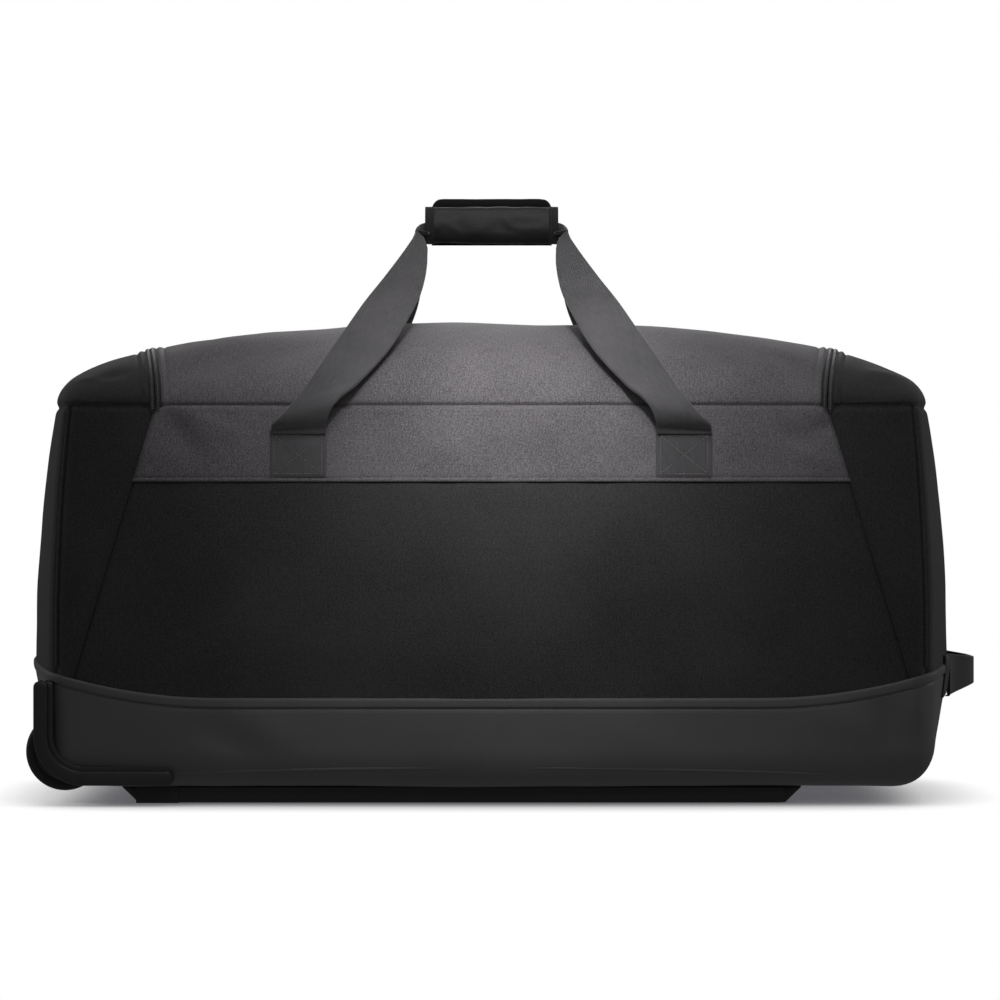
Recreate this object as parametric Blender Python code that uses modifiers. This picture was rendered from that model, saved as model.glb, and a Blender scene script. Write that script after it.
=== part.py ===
"""Wheeled hockey equipment bag: a soft duffel with a zipped lid that opens towards -Y.

Metres, +Z up. X runs along the bag, the wheels are at -X and the tow handle at +X.
The near side (-Y) carries the lid's sewn hinge, the far side (+Y) carries the zip's straight run.
The origin is on the floor, under the middle of the bag's box.
"""
import math

import bmesh
import bpy
from mathutils import Vector

# ---- driving dimensions -------------------------------------------------------------
MIDDLE_X = -0.014        # middle of the fabric body; the tow handle makes up the rest of the length
FABRIC = 0.003           # wall of lined and padded fabric
GAP = 0.0004             # clearance kept between neighbouring pieces
PIPING_GAP = 0.0009      # clearance on each side of a piped corner seam
SEAM_GAP = 0.0012        # clearance where the lid's curve meets the walls

FLOOR_Z = 0.018          # outer face of the bag's floor
BELLY_Z = 0.150          # height where the body is fullest
SEAM_Z = 0.368           # lid seam
LAP_Z = 0.300            # lapped seam between upper and main panels

CORNER_X_TOP = 0.391     # half length to the vertical corners, at the lid seam
CORNER_X_BELLY = 0.402   # the same at the belly
END_BULGE_TOP = 0.024    # how far the end stands out past its corners, at the lid seam
END_BULGE_BELLY = 0.034  # the same at the belly
DEPTH_TOP = 0.184        # half depth at the lid seam
DEPTH_BELLY = 0.186      # half depth at the belly
SIDE_BULGE = 0.008       # how far the long sides stand out at the belly
CORNER_RADIUS = 0.030
BOTTOM_RADIUS = 0.035

LID_RISE = 0.080         # crown of the lid above its seam
CROWN_POWER = 2.6        # shape of the crown, in both directions
ZIP_X_EDGE = 0.308       # half length between the zips at the lid seam
ZIP_X_CROWN = 0.326      # half length between the zips on the crown
ZIP_TAPE = 0.0052        # width of one half of the zip
ZIP_SPACE = 0.0058       # from the zip's middle line to the fabric edge

GUSSET_LOW_X = 0.384     # half width of the main panels where their slanted seams end
GUSSET_LOW_Z = 0.115

WRAP_Z = 0.100           # top edge of the coated bottom wrap, along the sides
WRAP_GAP = 0.0020        # clearance on each side of that edge
WRAP_RISE = 0.034        # how much higher that edge is at the ends
WRAP_TURN_X = 0.250      # where the edge starts to rise

WEBBING = 0.050          # carry webbing width
WEBBING_THICK = 0.003
PATCH_WIDTH = 0.052
PATCH_LOW_Z = 0.302
PATCH_HIGH_Z = 0.3425
STRAP_X = 0.1765         # patch middle, from the body's middle
STRAP_PIVOT_Y = 0.1934
STRAP_PIVOT_Z = 0.345

GRIP_Z = 0.545
GRIP_Y = 0.014           # near sleeve's middle, from the bag's middle plane
GRIP_HALF_LENGTH = 0.064
FOLDED_WEBBING = 0.026   # webbing folded lengthwise inside the grip
BINDING = 0.009          # width of the bound ends of the padded sleeve
FLAP_Y = 0.004
FAR_GRIP_Y = 0.0097

WHEEL_X = -0.4066
WHEEL_Z = 0.0496
WHEEL_Y = 0.157
WHEEL_RADIUS = 0.036
WHEEL_WIDTH = 0.028
TYRE_DEPTH = 0.009
AXLE_RADIUS = 0.004
WELL_RADIUS = 0.0425

RAIL_Y = 0.130
RAIL_WIDTH = 0.028
RAIL_X = (-0.356, 0.273)
RAIL_BEVEL = 0.014

TOW_Z = 0.112
TOW_HALF_SPAN = 0.085    # from the middle plane to each sewn end
TOW_REACH_X = 0.4485     # middle of the webbing at its outermost point
TOW_WIDTH = (0.041, 0.025)
TOW_PIVOT_X = 0.4205

SLIDER_SIZE = (0.012, 0.0032, 0.0135)
SLIDER_X = 0.0085
SLIDER_STANDOFF = 0.0018  # from the wall to the slider
PULLER_SIZE = (0.007, 0.0016, 0.018)

# name: colour, roughness, metallic
FINISHES = {
    "polyester": ((0.022, 0.021, 0.022), 0.85, 0.0),
    "coated_fabric": ((0.016, 0.016, 0.017), 0.60, 0.0),
    "webbing": ((0.035, 0.033, 0.034), 0.80, 0.0),
    "moulded_plastic": ((0.010, 0.010, 0.011), 0.45, 0.0),
    "rubber": ((0.008, 0.008, 0.008), 0.70, 0.0),
    "zip_metal": ((0.020, 0.020, 0.022), 0.35, 0.9),
    "steel": ((0.550, 0.550, 0.560), 0.30, 1.0),
    "board": ((0.030, 0.030, 0.030), 0.70, 0.0),
}


# ---- scene helpers ------------------------------------------------------------------
def clear_scene():
    for existing in list(bpy.data.objects):
        bpy.data.objects.remove(existing, do_unlink=True)


def make_collection(name):
    collection = bpy.data.collections.new(name)
    bpy.context.scene.collection.children.link(collection)
    return collection


def finish_material(finish, node_name):
    colour, roughness, metallic = FINISHES[finish]
    material = bpy.data.materials.new(node_name + "_" + finish)
    material.use_nodes = True
    shader = material.node_tree.nodes["Principled BSDF"]
    shader.inputs["Base Color"].default_value = (*colour, 1.0)
    shader.inputs["Roughness"].default_value = roughness
    shader.inputs["Metallic"].default_value = metallic
    return material


def add_object(name, bm, finish):
    mesh = bpy.data.meshes.new(name)
    bm.to_mesh(mesh)
    bm.free()
    obj = bpy.data.objects.new(name, mesh)
    PARTS.objects.link(obj)
    mesh.materials.append(finish_material(finish, name))
    mesh.shade_smooth()
    mesh.set_sharp_from_angle(angle=math.radians(35))
    return obj


def add_cutter(name, bm):
    mesh = bpy.data.meshes.new(name)
    bm.to_mesh(mesh)
    bm.free()
    obj = bpy.data.objects.new(name, mesh)
    obj.hide_render = True
    obj.display_type = "WIRE"
    CUTTERS.objects.link(obj)
    return obj


def cut(obj, cutter):
    modifier = obj.modifiers.new("cut_" + cutter.name, "BOOLEAN")
    modifier.operation = "DIFFERENCE"
    modifier.solver = "EXACT"
    modifier.object = cutter


def pivot_at(obj, pivot):
    """Move the object's origin to its joint's axis and leave its surface in place."""
    for vertex in obj.data.vertices:
        vertex.co -= Vector(pivot)
    obj.location = pivot


def sheet(name, point_at, columns, rows, finish, thickness=FABRIC, offset=-1.0, middle=None):
    """A grid laid on the surface point_at(u, v) and thickened; offset -1 grows it inwards."""
    bm = bmesh.new()
    bmesh.ops.create_grid(bm, x_segments=columns, y_segments=rows, size=0.5)
    for vertex in bm.verts:
        vertex.co = point_at(vertex.co.x + 0.5, vertex.co.y + 0.5)
    bm.normal_update()
    heart = Vector(middle or (MIDDLE_X, 0.0, BELLY_Z))
    facing = sum(face.normal.dot(face.calc_center_median() - heart) * face.calc_area() for face in bm.faces)
    if facing < 0.0:
        bmesh.ops.reverse_faces(bm, faces=bm.faces)
    obj = add_object(name, bm, finish)
    solidify = obj.modifiers.new("thickness", "SOLIDIFY")
    solidify.thickness = thickness
    solidify.offset = offset
    return obj


def box_mesh(low, high):
    bm = bmesh.new()
    bmesh.ops.create_cube(bm, size=1.0)
    for vertex in bm.verts:
        for axis in range(3):
            vertex.co[axis] = low[axis] if vertex.co[axis] < 0.0 else high[axis]
    return bm


def round_edges(bm, along, radius, segments, keep=lambda edge: True):
    """Round the edges that run along one axis (0, 1 or 2)."""
    chosen = []
    for edge in bm.edges:
        direction = (edge.verts[1].co - edge.verts[0].co).normalized()
        if abs(direction[along]) > 0.99 and keep(edge):
            chosen.append(edge)
    bmesh.ops.bevel(bm, geom=chosen, offset=radius, segments=segments, profile=0.5, affect="EDGES")


def cylinder_mesh(radius_x, radius_z, y_low, y_high, centre_x, centre_z, sides=32):
    """A round or oval bar along Y."""
    bm = bmesh.new()
    bmesh.ops.create_cone(
        bm, cap_ends=True, segments=sides, radius1=1.0, radius2=1.0, depth=1.0
    )
    for vertex in bm.verts:
        across, up, along = vertex.co
        vertex.co = (
            centre_x + across * radius_x,
            y_low if along > 0.0 else y_high,
            centre_z + up * radius_z,
        )
    return bm


# ---- the body's surface -------------------------------------------------------------
def fullness(z):
    """1 at the belly and below it, 0 at the lid seam."""
    if z <= BELLY_Z:
        return 1.0
    return 1.0 - ((z - BELLY_Z) / (SEAM_Z - BELLY_Z)) ** 2


def blend(low, high, share):
    return low + (high - low) * share


def corner_x(z):
    return blend(CORNER_X_TOP, CORNER_X_BELLY, fullness(z))


def half_depth(z):
    return blend(DEPTH_TOP, DEPTH_BELLY, fullness(z))


def end_bulge(z):
    return blend(END_BULGE_TOP, END_BULGE_BELLY, fullness(z))


def section_point(distance, z, inset=0.0):
    """A point of the body's outline at height z, on the +X, +Y quarter.

    distance is measured along the outline from the middle of the end face."""
    corner = corner_x(z) - inset
    depth = half_depth(z) - inset
    radius = max(CORNER_RADIUS - inset, 0.008)
    flat = depth - radius
    arc = radius * math.pi / 2
    if distance <= flat:
        x, y = corner, distance
    elif distance <= flat + arc:
        angle = (distance - flat) / radius
        x = corner - radius + radius * math.cos(angle)
        y = flat + radius * math.sin(angle)
    else:
        x, y = corner - radius - (distance - flat - arc), depth
    x += end_bulge(z) * (1.0 - (y / depth) ** 2)
    y += SIDE_BULGE * fullness(z) * (1.0 - (min(x, corner) / corner) ** 2) * (y / depth) ** 8
    return x, y


def side_y(x, z, out=0.0):
    """Distance of the long side's outer face from the middle plane, x from the body's middle."""
    bulge = SIDE_BULGE * fullness(z) * (1.0 - (x / corner_x(z)) ** 2)
    return half_depth(z) + bulge + out


def end_reach(z):
    """Length along the outline from the end's middle to the end of the corner's arc."""
    return half_depth(z) - CORNER_RADIUS + CORNER_RADIUS * math.pi / 2


def wrap_edge_z(x):
    rise = max(0.0, (abs(x) - WRAP_TURN_X) / (0.436 - WRAP_TURN_X))
    return WRAP_Z + WRAP_RISE * rise ** 2


def gusset_x(z, side):
    """Half width of the main and upper panels: it widens downwards along the slanted seam."""
    top = ZIP_X_EDGE if side < 0 else ZIP_X_EDGE + ZIP_SPACE + GAP
    return blend(GUSSET_LOW_X, top, (z - GUSSET_LOW_Z) / (SEAM_Z - GUSSET_LOW_Z))


def crown(share):
    return math.sqrt(max(0.0, 1.0 - abs(share) ** CROWN_POWER))


def top_z(x, y):
    """Height of the crowned top over a point, x from the body's middle."""
    reach = CORNER_X_TOP + END_BULGE_TOP
    depth = top_half_depth(abs(x))
    share = 1.0 if depth <= 0.0 else min(1.0, abs(y) / depth)
    return SEAM_Z + SEAM_GAP + LID_RISE * crown(min(1.0, abs(x) / reach)) * crown(share)


def top_half_depth(x):
    """Half depth of the lid seam's outline at a distance x from the body's middle."""
    if x <= CORNER_X_TOP - CORNER_RADIUS:
        return DEPTH_TOP
    low, high = 0.0, end_reach(SEAM_Z)
    for _ in range(30):
        middle = (low + high) / 2
        if section_point(middle, SEAM_Z)[0] > x:
            low = middle
        else:
            high = middle
    return section_point(low, SEAM_Z)[1]


def zip_x(y):
    """Half length between the zips over a point y of the lid."""
    return blend(ZIP_X_CROWN, ZIP_X_EDGE, (y / DEPTH_TOP) ** 2)


# ---- fabric walls -------------------------------------------------------------------
def long_panel(name, side, low_edge, high_edge, columns, rows):
    """A panel of the near (-1) or far (+1) side, between the two slanted seams."""
    def point_at(u, v):
        x = (2.0 * u - 1.0)
        low = low_edge(x * GUSSET_LOW_X) + WRAP_GAP
        z = blend(low, high_edge - GAP, v)
        x *= gusset_x(z, side) - GAP
        return (MIDDLE_X + x, side * side_y(x, z), z)
    sheet(name, point_at, columns, rows, "polyester")


def crowd_both(share):
    return 0.5 - 0.5 * math.cos(math.pi * share)


def crowd_start(share):
    return 1.0 - math.cos(math.pi / 2 * share)


def crowd_stop(share):
    return math.sin(math.pi / 2 * share)


def end_strip(name, end, start, stop, crowd, columns):
    """A panel of one end, between two seams given as distances along the outline.

    crowd draws its columns together where the outline turns the corner."""
    def point_at(u, v):
        u = crowd(u)
        reference = blend(start(BELLY_Z), stop(BELLY_Z), u)
        reference_x = section_point(abs(reference), BELLY_Z)[0]
        z = blend(wrap_edge_z(reference_x) + WRAP_GAP, SEAM_Z - GAP, v)
        distance = blend(start(z) + PIPING_GAP, stop(z) - PIPING_GAP, u)
        x, y = section_point(abs(distance), z)
        return (MIDDLE_X + end * x, math.copysign(y, distance), z)
    sheet(name, point_at, columns, 6, "polyester")


def piping_distance(z):
    return end_reach(z) - CORNER_RADIUS * math.pi / 4


def gusset_distance(z, side):
    return end_reach(z) + corner_x(z) - CORNER_RADIUS - gusset_x(z, side)


def build_walls():
    for side, word in ((-1, "near"), (1, "far")):
        top = SEAM_Z if side < 0 else SEAM_Z - 2 * ZIP_SPACE + GAP
        long_panel(word + "_main_panel", side, wrap_edge_z, LAP_Z, 14, 6)
        long_panel(word + "_upper_panel", side, lambda x: LAP_Z - WRAP_GAP, top, 14, 2)
    for end, word in ((-1, "left"), (1, "right")):
        end_strip(
            word + "_end_panel", end,
            lambda z: -piping_distance(z), piping_distance, crowd_both, 12,
        )
        end_strip(
            word + "_far_gusset", end,
            piping_distance, lambda z: gusset_distance(z, 1), crowd_start, 6,
        )
        end_strip(
            word + "_near_gusset", end,
            lambda z: -gusset_distance(z, -1), lambda z: -piping_distance(z), crowd_stop, 6,
        )


def build_top_caps():
    """The fixed part of the top, from each zip to the end."""
    def reach():
        return end_reach(SEAM_Z) + CORNER_X_TOP - CORNER_RADIUS - ZIP_X_EDGE - ZIP_SPACE - GAP

    for end, word in ((-1, "left"), (1, "right")):
        def point_at(u, v, end=end):
            distance = blend(-reach(), reach(), 0.5 - 0.5 * math.cos(math.pi * u))
            outer_x, outer_y = section_point(abs(distance), SEAM_Z)
            outer_y = math.copysign(outer_y, distance)
            inner_y = DEPTH_TOP * math.sin(math.pi * (u - 0.5))
            inner_x = zip_x(inner_y) + ZIP_SPACE
            share = math.sin(v * math.pi / 2)
            x = blend(outer_x, inner_x, 1.0 - math.cos(v * math.pi / 2))
            y = blend(outer_y, inner_y, 1.0 - math.cos(v * math.pi / 2))
            if v == 0.0 or share == 0.0:
                return (MIDDLE_X + end * outer_x, outer_y, SEAM_Z + SEAM_GAP)
            return (MIDDLE_X + end * x, y, top_z(x, y))
        sheet(word + "_top_cap", point_at, 16, 6, "polyester", middle=(MIDDLE_X + end * 0.3, 0.0, 0.3))


def build_wrap():
    """The coated tray round the bottom: walls, rounded bottom edge and floor."""
    stations = [(0, i / 3) for i in range(3)]
    stations += [(1, i / 3) for i in range(4)]
    stations += [(2, i / 10) for i in range(1, 10)]

    def outline(share, inset, z_at):
        height = z_at(share, 0.0)
        radius = max(CORNER_RADIUS - inset, 0.008)
        flat = half_depth(height) - inset - radius
        arc = radius * math.pi / 2
        starts = (0.0, flat, flat + arc)
        lengths = (flat, arc, corner_x(height) - inset - radius)
        quarter = []
        for zone, part in stations:
            x, y = section_point(starts[zone] + lengths[zone] * part, height, inset)
            quarter.append((x, y, z_at(share, x)))
        middle_y = section_point(starts[2] + lengths[2], height, inset)[1]
        ring = list(quarter)
        ring += [(0.0, middle_y, height)]
        ring += [(-x, y, z) for x, y, z in reversed(quarter)]
        ring += [(-x, -y, z) for x, y, z in quarter[1:]]
        ring += [(0.0, -middle_y, height)]
        ring += [(x, -y, z) for x, y, z in reversed(quarter[1:])]
        return ring

    def wall_z(share, x):
        return blend(wrap_edge_z(x) - WRAP_GAP, FLOOR_Z + BOTTOM_RADIUS, share)

    rings = [outline(share, 0.0, wall_z) for share in (0.0, 0.5, 1.0)]
    for step in (1, 2, 3):
        angle = step * math.pi / 6
        inset = BOTTOM_RADIUS * (1.0 - math.cos(angle))
        height = FLOOR_Z + BOTTOM_RADIUS * (1.0 - math.sin(angle))
        rings.append(outline(0.0, inset, lambda share, x, height=height: height))
    bm = bmesh.new()
    loops = [[bm.verts.new((MIDDLE_X + x, y, z)) for x, y, z in ring] for ring in rings]
    count = len(loops[0])
    for upper, lower in zip(loops, loops[1:]):
        for i in range(count):
            bm.faces.new((upper[i], lower[i], lower[(i + 1) % count], upper[(i + 1) % count]))
    floor = bm.faces.new(loops[-1])
    bmesh.ops.triangulate(bm, faces=[floor])
    bmesh.ops.recalc_face_normals(bm, faces=bm.faces)
    bm.normal_update()
    lowest = min(bm.faces, key=lambda face: face.calc_center_median().z)
    if lowest.normal.z > 0.0:
        bmesh.ops.reverse_faces(bm, faces=bm.faces)
    wrap = add_object("bottom_wrap", bm, "coated_fabric")
    solidify = wrap.modifiers.new("thickness", "SOLIDIFY")
    solidify.thickness = FABRIC
    solidify.offset = -1.0
    for side, word in ((-1, "near"), (1, "far")):
        inner = side * (WHEEL_Y - WHEEL_WIDTH / 2 - 0.0060)
        outer = side * (WHEEL_Y + WHEEL_WIDTH / 2 + 0.0060)
        bm = cylinder_mesh(
            WELL_RADIUS + GAP, WELL_RADIUS + GAP, min(inner, outer), max(inner, outer), WHEEL_X, WHEEL_Z
        )
        cut(wrap, add_cutter(word + "_wheel_well", bm))


def build_base_board():
    low = (-0.352, -0.140, FLOOR_Z + FABRIC + GAP)
    high = (0.340, 0.140, FLOOR_Z + FABRIC + GAP + 0.0025)
    bm = box_mesh(low, high)
    round_edges(bm, 2, 0.020, 3)
    add_object("base_board", bm, "board")


# ---- lid and zip --------------------------------------------------------------------
def build_lid():
    def point_at(u, v):
        share = math.sin(math.pi * (v - 0.5))
        y = DEPTH_TOP * share
        x = (zip_x(y) - ZIP_SPACE) * math.sin(math.pi * (u - 0.5) * 0.92) / math.sin(math.pi * 0.46)
        return (MIDDLE_X + x, y, top_z(x, y))
    lid = sheet("lid_panel", point_at, 18, 16, "polyester")
    pivot_at(lid, HINGE)


def zip_half(name, near_edge, far_edge, z_near, z_far):
    """A U-shaped strip: over the top along one end, along the far side and back.

    near_edge and far_edge are offsets outwards from the zip's middle line."""
    path = []
    steps = 16
    for i in range(steps + 1):
        y = DEPTH_TOP * math.sin(math.pi * (i / steps - 0.5))
        points = []
        for edge in (near_edge, far_edge):
            x = zip_x(y) + edge
            points.append((x, y, top_z(x, y)))
        path.append(points)
    path.append([
        (ZIP_X_EDGE + near_edge, DEPTH_TOP, z_near),
        (ZIP_X_EDGE + far_edge, DEPTH_TOP, z_far),
    ])
    for share in (0.75, 0.5, 0.25, 0.0):
        x = ZIP_X_EDGE * share
        path.append([(x, DEPTH_TOP, z_near), (x, DEPTH_TOP, z_far)])
    mirrored = [[(-x, y, z) for x, y, z in pair] for pair in reversed(path[:-1])]
    path += mirrored

    def point_at(u, v):
        pair = path[round(v * (len(path) - 1))]
        x, y, z = pair[round(u)]
        return (MIDDLE_X + x, y, z)
    return sheet(name, point_at, 1, len(path) - 1, "zip_metal")


def build_zip():
    top = SEAM_Z
    lid_half = zip_half("lid_zip_half", -ZIP_TAPE - GAP, -GAP, top, top - ZIP_TAPE)
    pivot_at(lid_half, HINGE)
    zip_half("body_zip_half", GAP, ZIP_TAPE + GAP, top - ZIP_TAPE - 2 * GAP, top - 2 * ZIP_TAPE - 2 * GAP)
    length, thick, height = SLIDER_SIZE
    slider_z = top - ZIP_TAPE - GAP
    for side, word in ((-1, "left"), (1, "right")):
        x = MIDDLE_X + side * SLIDER_X
        y = DEPTH_TOP + SLIDER_STANDOFF
        bm = box_mesh((x - length / 2, y, slider_z - height / 2), (x + length / 2, y + thick, slider_z + height / 2))
        round_edges(bm, 1, 0.003, 3)
        add_object(word + "_zip_slider", bm, "zip_metal")
        width, tab, drop = PULLER_SIZE
        y += thick + GAP
        bm = box_mesh((x - width / 2, y, slider_z - drop), (x + width / 2, y + tab, slider_z + tab / 2))
        round_edges(bm, 1, 0.002, 3)
        puller = add_object(word + "_zip_puller", bm, "zip_metal")
        pivot_at(puller, (x, y + tab / 2, slider_z))


# ---- carry handles ------------------------------------------------------------------
# route of one leg, from its sewn end to the grip: x from the body's middle, y, z, webbing width
LEG = (
    (STRAP_X, STRAP_PIVOT_Y, STRAP_PIVOT_Z, WEBBING),
    (STRAP_X, 0.1955, 0.3600, WEBBING),
    (0.1630, 0.1995, 0.3780, WEBBING),
    (0.1460, 0.2000, 0.4000, WEBBING),
    (0.1120, 0.1720, 0.4380, 0.048),
    (0.0900, 0.1060, 0.4890, 0.040),
    (0.0860, 0.0600, 0.5220, 0.032),
    (0.0820, 0.0320, 0.5370, 0.027),
    (0.0745, 0.0180, 0.5440, FOLDED_WEBBING),
    (0.0665, 0.0000, GRIP_Z, FOLDED_WEBBING),
    (0.0600, 0.0000, GRIP_Z, FOLDED_WEBBING),
    (0.0000, 0.0000, GRIP_Z, FOLDED_WEBBING),
)
GRIP_START = 9           # first point of the leg that lies inside the grip


def curve_through(points, position):
    """Smooth curve through the points; position counts points, with a share in between."""
    last = len(points) - 1
    index = min(int(position), last - 1)
    share = position - index
    before, start, stop, after = (
        Vector(points[max(0, min(last, index + k))]) for k in (-1, 0, 1, 2)
    )
    slope_start = (stop - before) * 0.5
    slope_stop = (after - start) * 0.5
    cube, square = share ** 3, share ** 2
    return (
        start * (2 * cube - 3 * square + 1) + slope_start * (cube - 2 * square + share)
        + stop * (3 * square - 2 * cube) + slope_stop * (cube - square)
    )


def build_strap(name, side, grip_y):
    points = []
    for index, (x, y, z, width) in enumerate(LEG):
        y = side * y if index < GRIP_START else grip_y
        points.append((-x, y, z, width))
    points += [(-x, y, z, width) for x, y, z, width in reversed(points[:-1])]
    last = len(points) - 1
    steps = 3 * last
    outward = Vector((0.0, side, 0.0))

    def point_at(u, v):
        position = v * last
        here = curve_through(points, position)
        ahead = curve_through(points, min(last, position + 0.05))
        behind = curve_through(points, max(0.0, position - 0.05))
        along = (ahead.xyz - behind.xyz).normalized()
        facing = (outward - along * outward.dot(along)).normalized()
        across = along.cross(facing)
        centre = here.xyz + Vector((MIDDLE_X, 0.0, 0.0))
        return centre + across * (u - 0.5) * here[3]
    strap = sheet(name, point_at, 2, steps, "webbing", WEBBING_THICK, offset=0.0, middle=(MIDDLE_X, 0.0, 0.4))
    pivot_at(strap, (MIDDLE_X, side * STRAP_PIVOT_Y, STRAP_PIVOT_Z))


def sleeve_piece(name, low_x, high_x, half_y, half_z, finish):
    """An oval sleeve along X round the folded webbing of the near handle."""
    bm = cylinder_mesh(half_y, half_z, low_x, high_x, -GRIP_Y, GRIP_Z, sides=20)
    for vertex in bm.verts:
        across, along, up = vertex.co
        vertex.co = (MIDDLE_X + along, across, up)
    bmesh.ops.reverse_faces(bm, faces=bm.faces)
    piece = add_object(name, bm, finish)
    cut(piece, SLOT)
    pivot_at(piece, (MIDDLE_X, -STRAP_PIVOT_Y, STRAP_PIVOT_Z))


def build_grips():
    padded = GRIP_HALF_LENGTH - BINDING - GAP
    sleeve_piece("grip_sleeve", -padded, padded, 0.0125, 0.0175, "polyester")
    sleeve_piece("left_grip_binding", -GRIP_HALF_LENGTH, -padded - GAP, 0.0132, 0.0182, "webbing")
    sleeve_piece("right_grip_binding", padded + GAP, GRIP_HALF_LENGTH, 0.0132, 0.0182, "webbing")
    low = (MIDDLE_X - 0.058, FLAP_Y - 0.0015, 0.527)
    high = (MIDDLE_X + 0.058, FLAP_Y + 0.0015, 0.573)
    bm = box_mesh(low, high)
    round_edges(bm, 1, 0.012, 4, keep=lambda edge: edge.verts[0].co.z > GRIP_Z)
    flap = add_object("grip_flap", bm, "polyester")
    pivot_at(flap, (MIDDLE_X, STRAP_PIVOT_Y, STRAP_PIVOT_Z))


def build_patches():
    for side, word in ((-1, "near"), (1, "far")):
        for end, end_word in ((-1, "left"), (1, "right")):
            def point_at(u, v, side=side, end=end):
                x = end * STRAP_X + (u - 0.5) * PATCH_WIDTH
                z = blend(PATCH_LOW_Z, PATCH_HIGH_Z, v)
                return (MIDDLE_X + x, side * side_y(x, z, GAP), z)
            sheet(f"{word}_{end_word}_handle_patch", point_at, 3, 2, "webbing", WEBBING_THICK, offset=1.0)


# ---- bottom: rails, wheels and guards -------------------------------------------------
def build_rails():
    for side, word in ((-1, "near"), (1, "far")):
        low = (RAIL_X[0], side * RAIL_Y - RAIL_WIDTH / 2, 0.0)
        high = (RAIL_X[1], side * RAIL_Y + RAIL_WIDTH / 2, FLOOR_Z - GAP)
        bm = box_mesh(low, high)
        for vertex in bm.verts:
            if vertex.co.z < FLOOR_Z / 2:
                vertex.co.x += RAIL_BEVEL if vertex.co.x < 0.0 else -RAIL_BEVEL
        round_edges(bm, 0, 0.003, 2, keep=lambda edge: edge.verts[0].co.z < FLOOR_Z / 2)
        add_object(word + "_skid_rail", bm, "moulded_plastic")


def turned(name, profile, side, finish):
    """A body of revolution about the wheel's axle; profile holds (radius, y) points, closed."""
    bm = bmesh.new()
    corners = [bm.verts.new((radius, y, 0.0)) for radius, y in profile]
    for first, second in zip(corners, corners[1:] + corners[:1]):
        bm.edges.new((first, second))
    obj = add_object(name, bm, finish)
    spin = obj.modifiers.new("turn", "SCREW")
    spin.axis = "Y"
    spin.steps = 32
    spin.render_steps = 32
    spin.use_merge_vertices = True
    spin.merge_threshold = 0.00001
    obj.location = (WHEEL_X, side * WHEEL_Y, WHEEL_Z)


def build_wheels():
    half = WHEEL_WIDTH / 2
    rim = WHEEL_RADIUS - TYRE_DEPTH
    tyre = [
        (rim, half), (WHEEL_RADIUS - 0.004, half), (WHEEL_RADIUS, half - 0.005),
        (WHEEL_RADIUS, 0.005 - half), (WHEEL_RADIUS - 0.004, -half), (rim, -half),
    ]
    bore = AXLE_RADIUS + GAP
    web = 0.006
    hub = [
        (bore, half - 0.002), (bore + 0.005, half - 0.002), (bore + 0.006, web), (rim - 0.005, web),
        (rim - 0.004, half), (rim - GAP, half), (rim - GAP, -half), (rim - 0.004, -half),
        (rim - 0.005, -web), (bore + 0.006, -web), (bore + 0.005, 0.002 - half), (bore, 0.002 - half),
    ]
    for side, word in ((-1, "near"), (1, "far")):
        turned(word + "_tyre", tyre, side, "rubber")
        turned(word + "_wheel_hub", hub, side, "moulded_plastic")
        low = side * WHEEL_Y - half - 0.0030
        high = side * WHEEL_Y + half + 0.0030
        add_object(
            word + "_axle",
            cylinder_mesh(AXLE_RADIUS, AXLE_RADIUS, low, high, WHEEL_X, WHEEL_Z, sides=20),
            "steel",
        )


def build_housings():
    """The moulded wheel well: a curved shell over the wheel and its inner wall, with the axle hole."""
    depth = WHEEL_WIDTH / 2 + 0.0056
    profile = ((WELL_RADIUS, depth), (WELL_RADIUS, -depth), (AXLE_RADIUS + GAP, -depth))
    for side, word in ((-1, "near"), (1, "far")):
        def point_at(u, v, side=side):
            angle = blend(math.radians(-18.0), math.radians(108.0), u)
            radius, offset = profile[round(v * 2)]
            return (
                WHEEL_X + radius * math.cos(angle),
                side * (WHEEL_Y + offset),
                WHEEL_Z + radius * math.sin(angle),
            )
        sheet(
            word + "_wheel_housing", point_at, 12, 2, "moulded_plastic", 0.0022,
            middle=(WHEEL_X, side * (WHEEL_Y + 0.01), WHEEL_Z),
        )


GUARD_BEND = 0.046       # outer radius of the corner guard's bend
GUARD_WIDTH = 0.0135
GUARD_TOP_Z = 0.116
GUARD_OUTER_X = -0.433
GUARD_LOW_Z = 0.0195
GUARD_END_X = -0.304
GUARD_Y = (0.1836, 0.1932)


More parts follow.
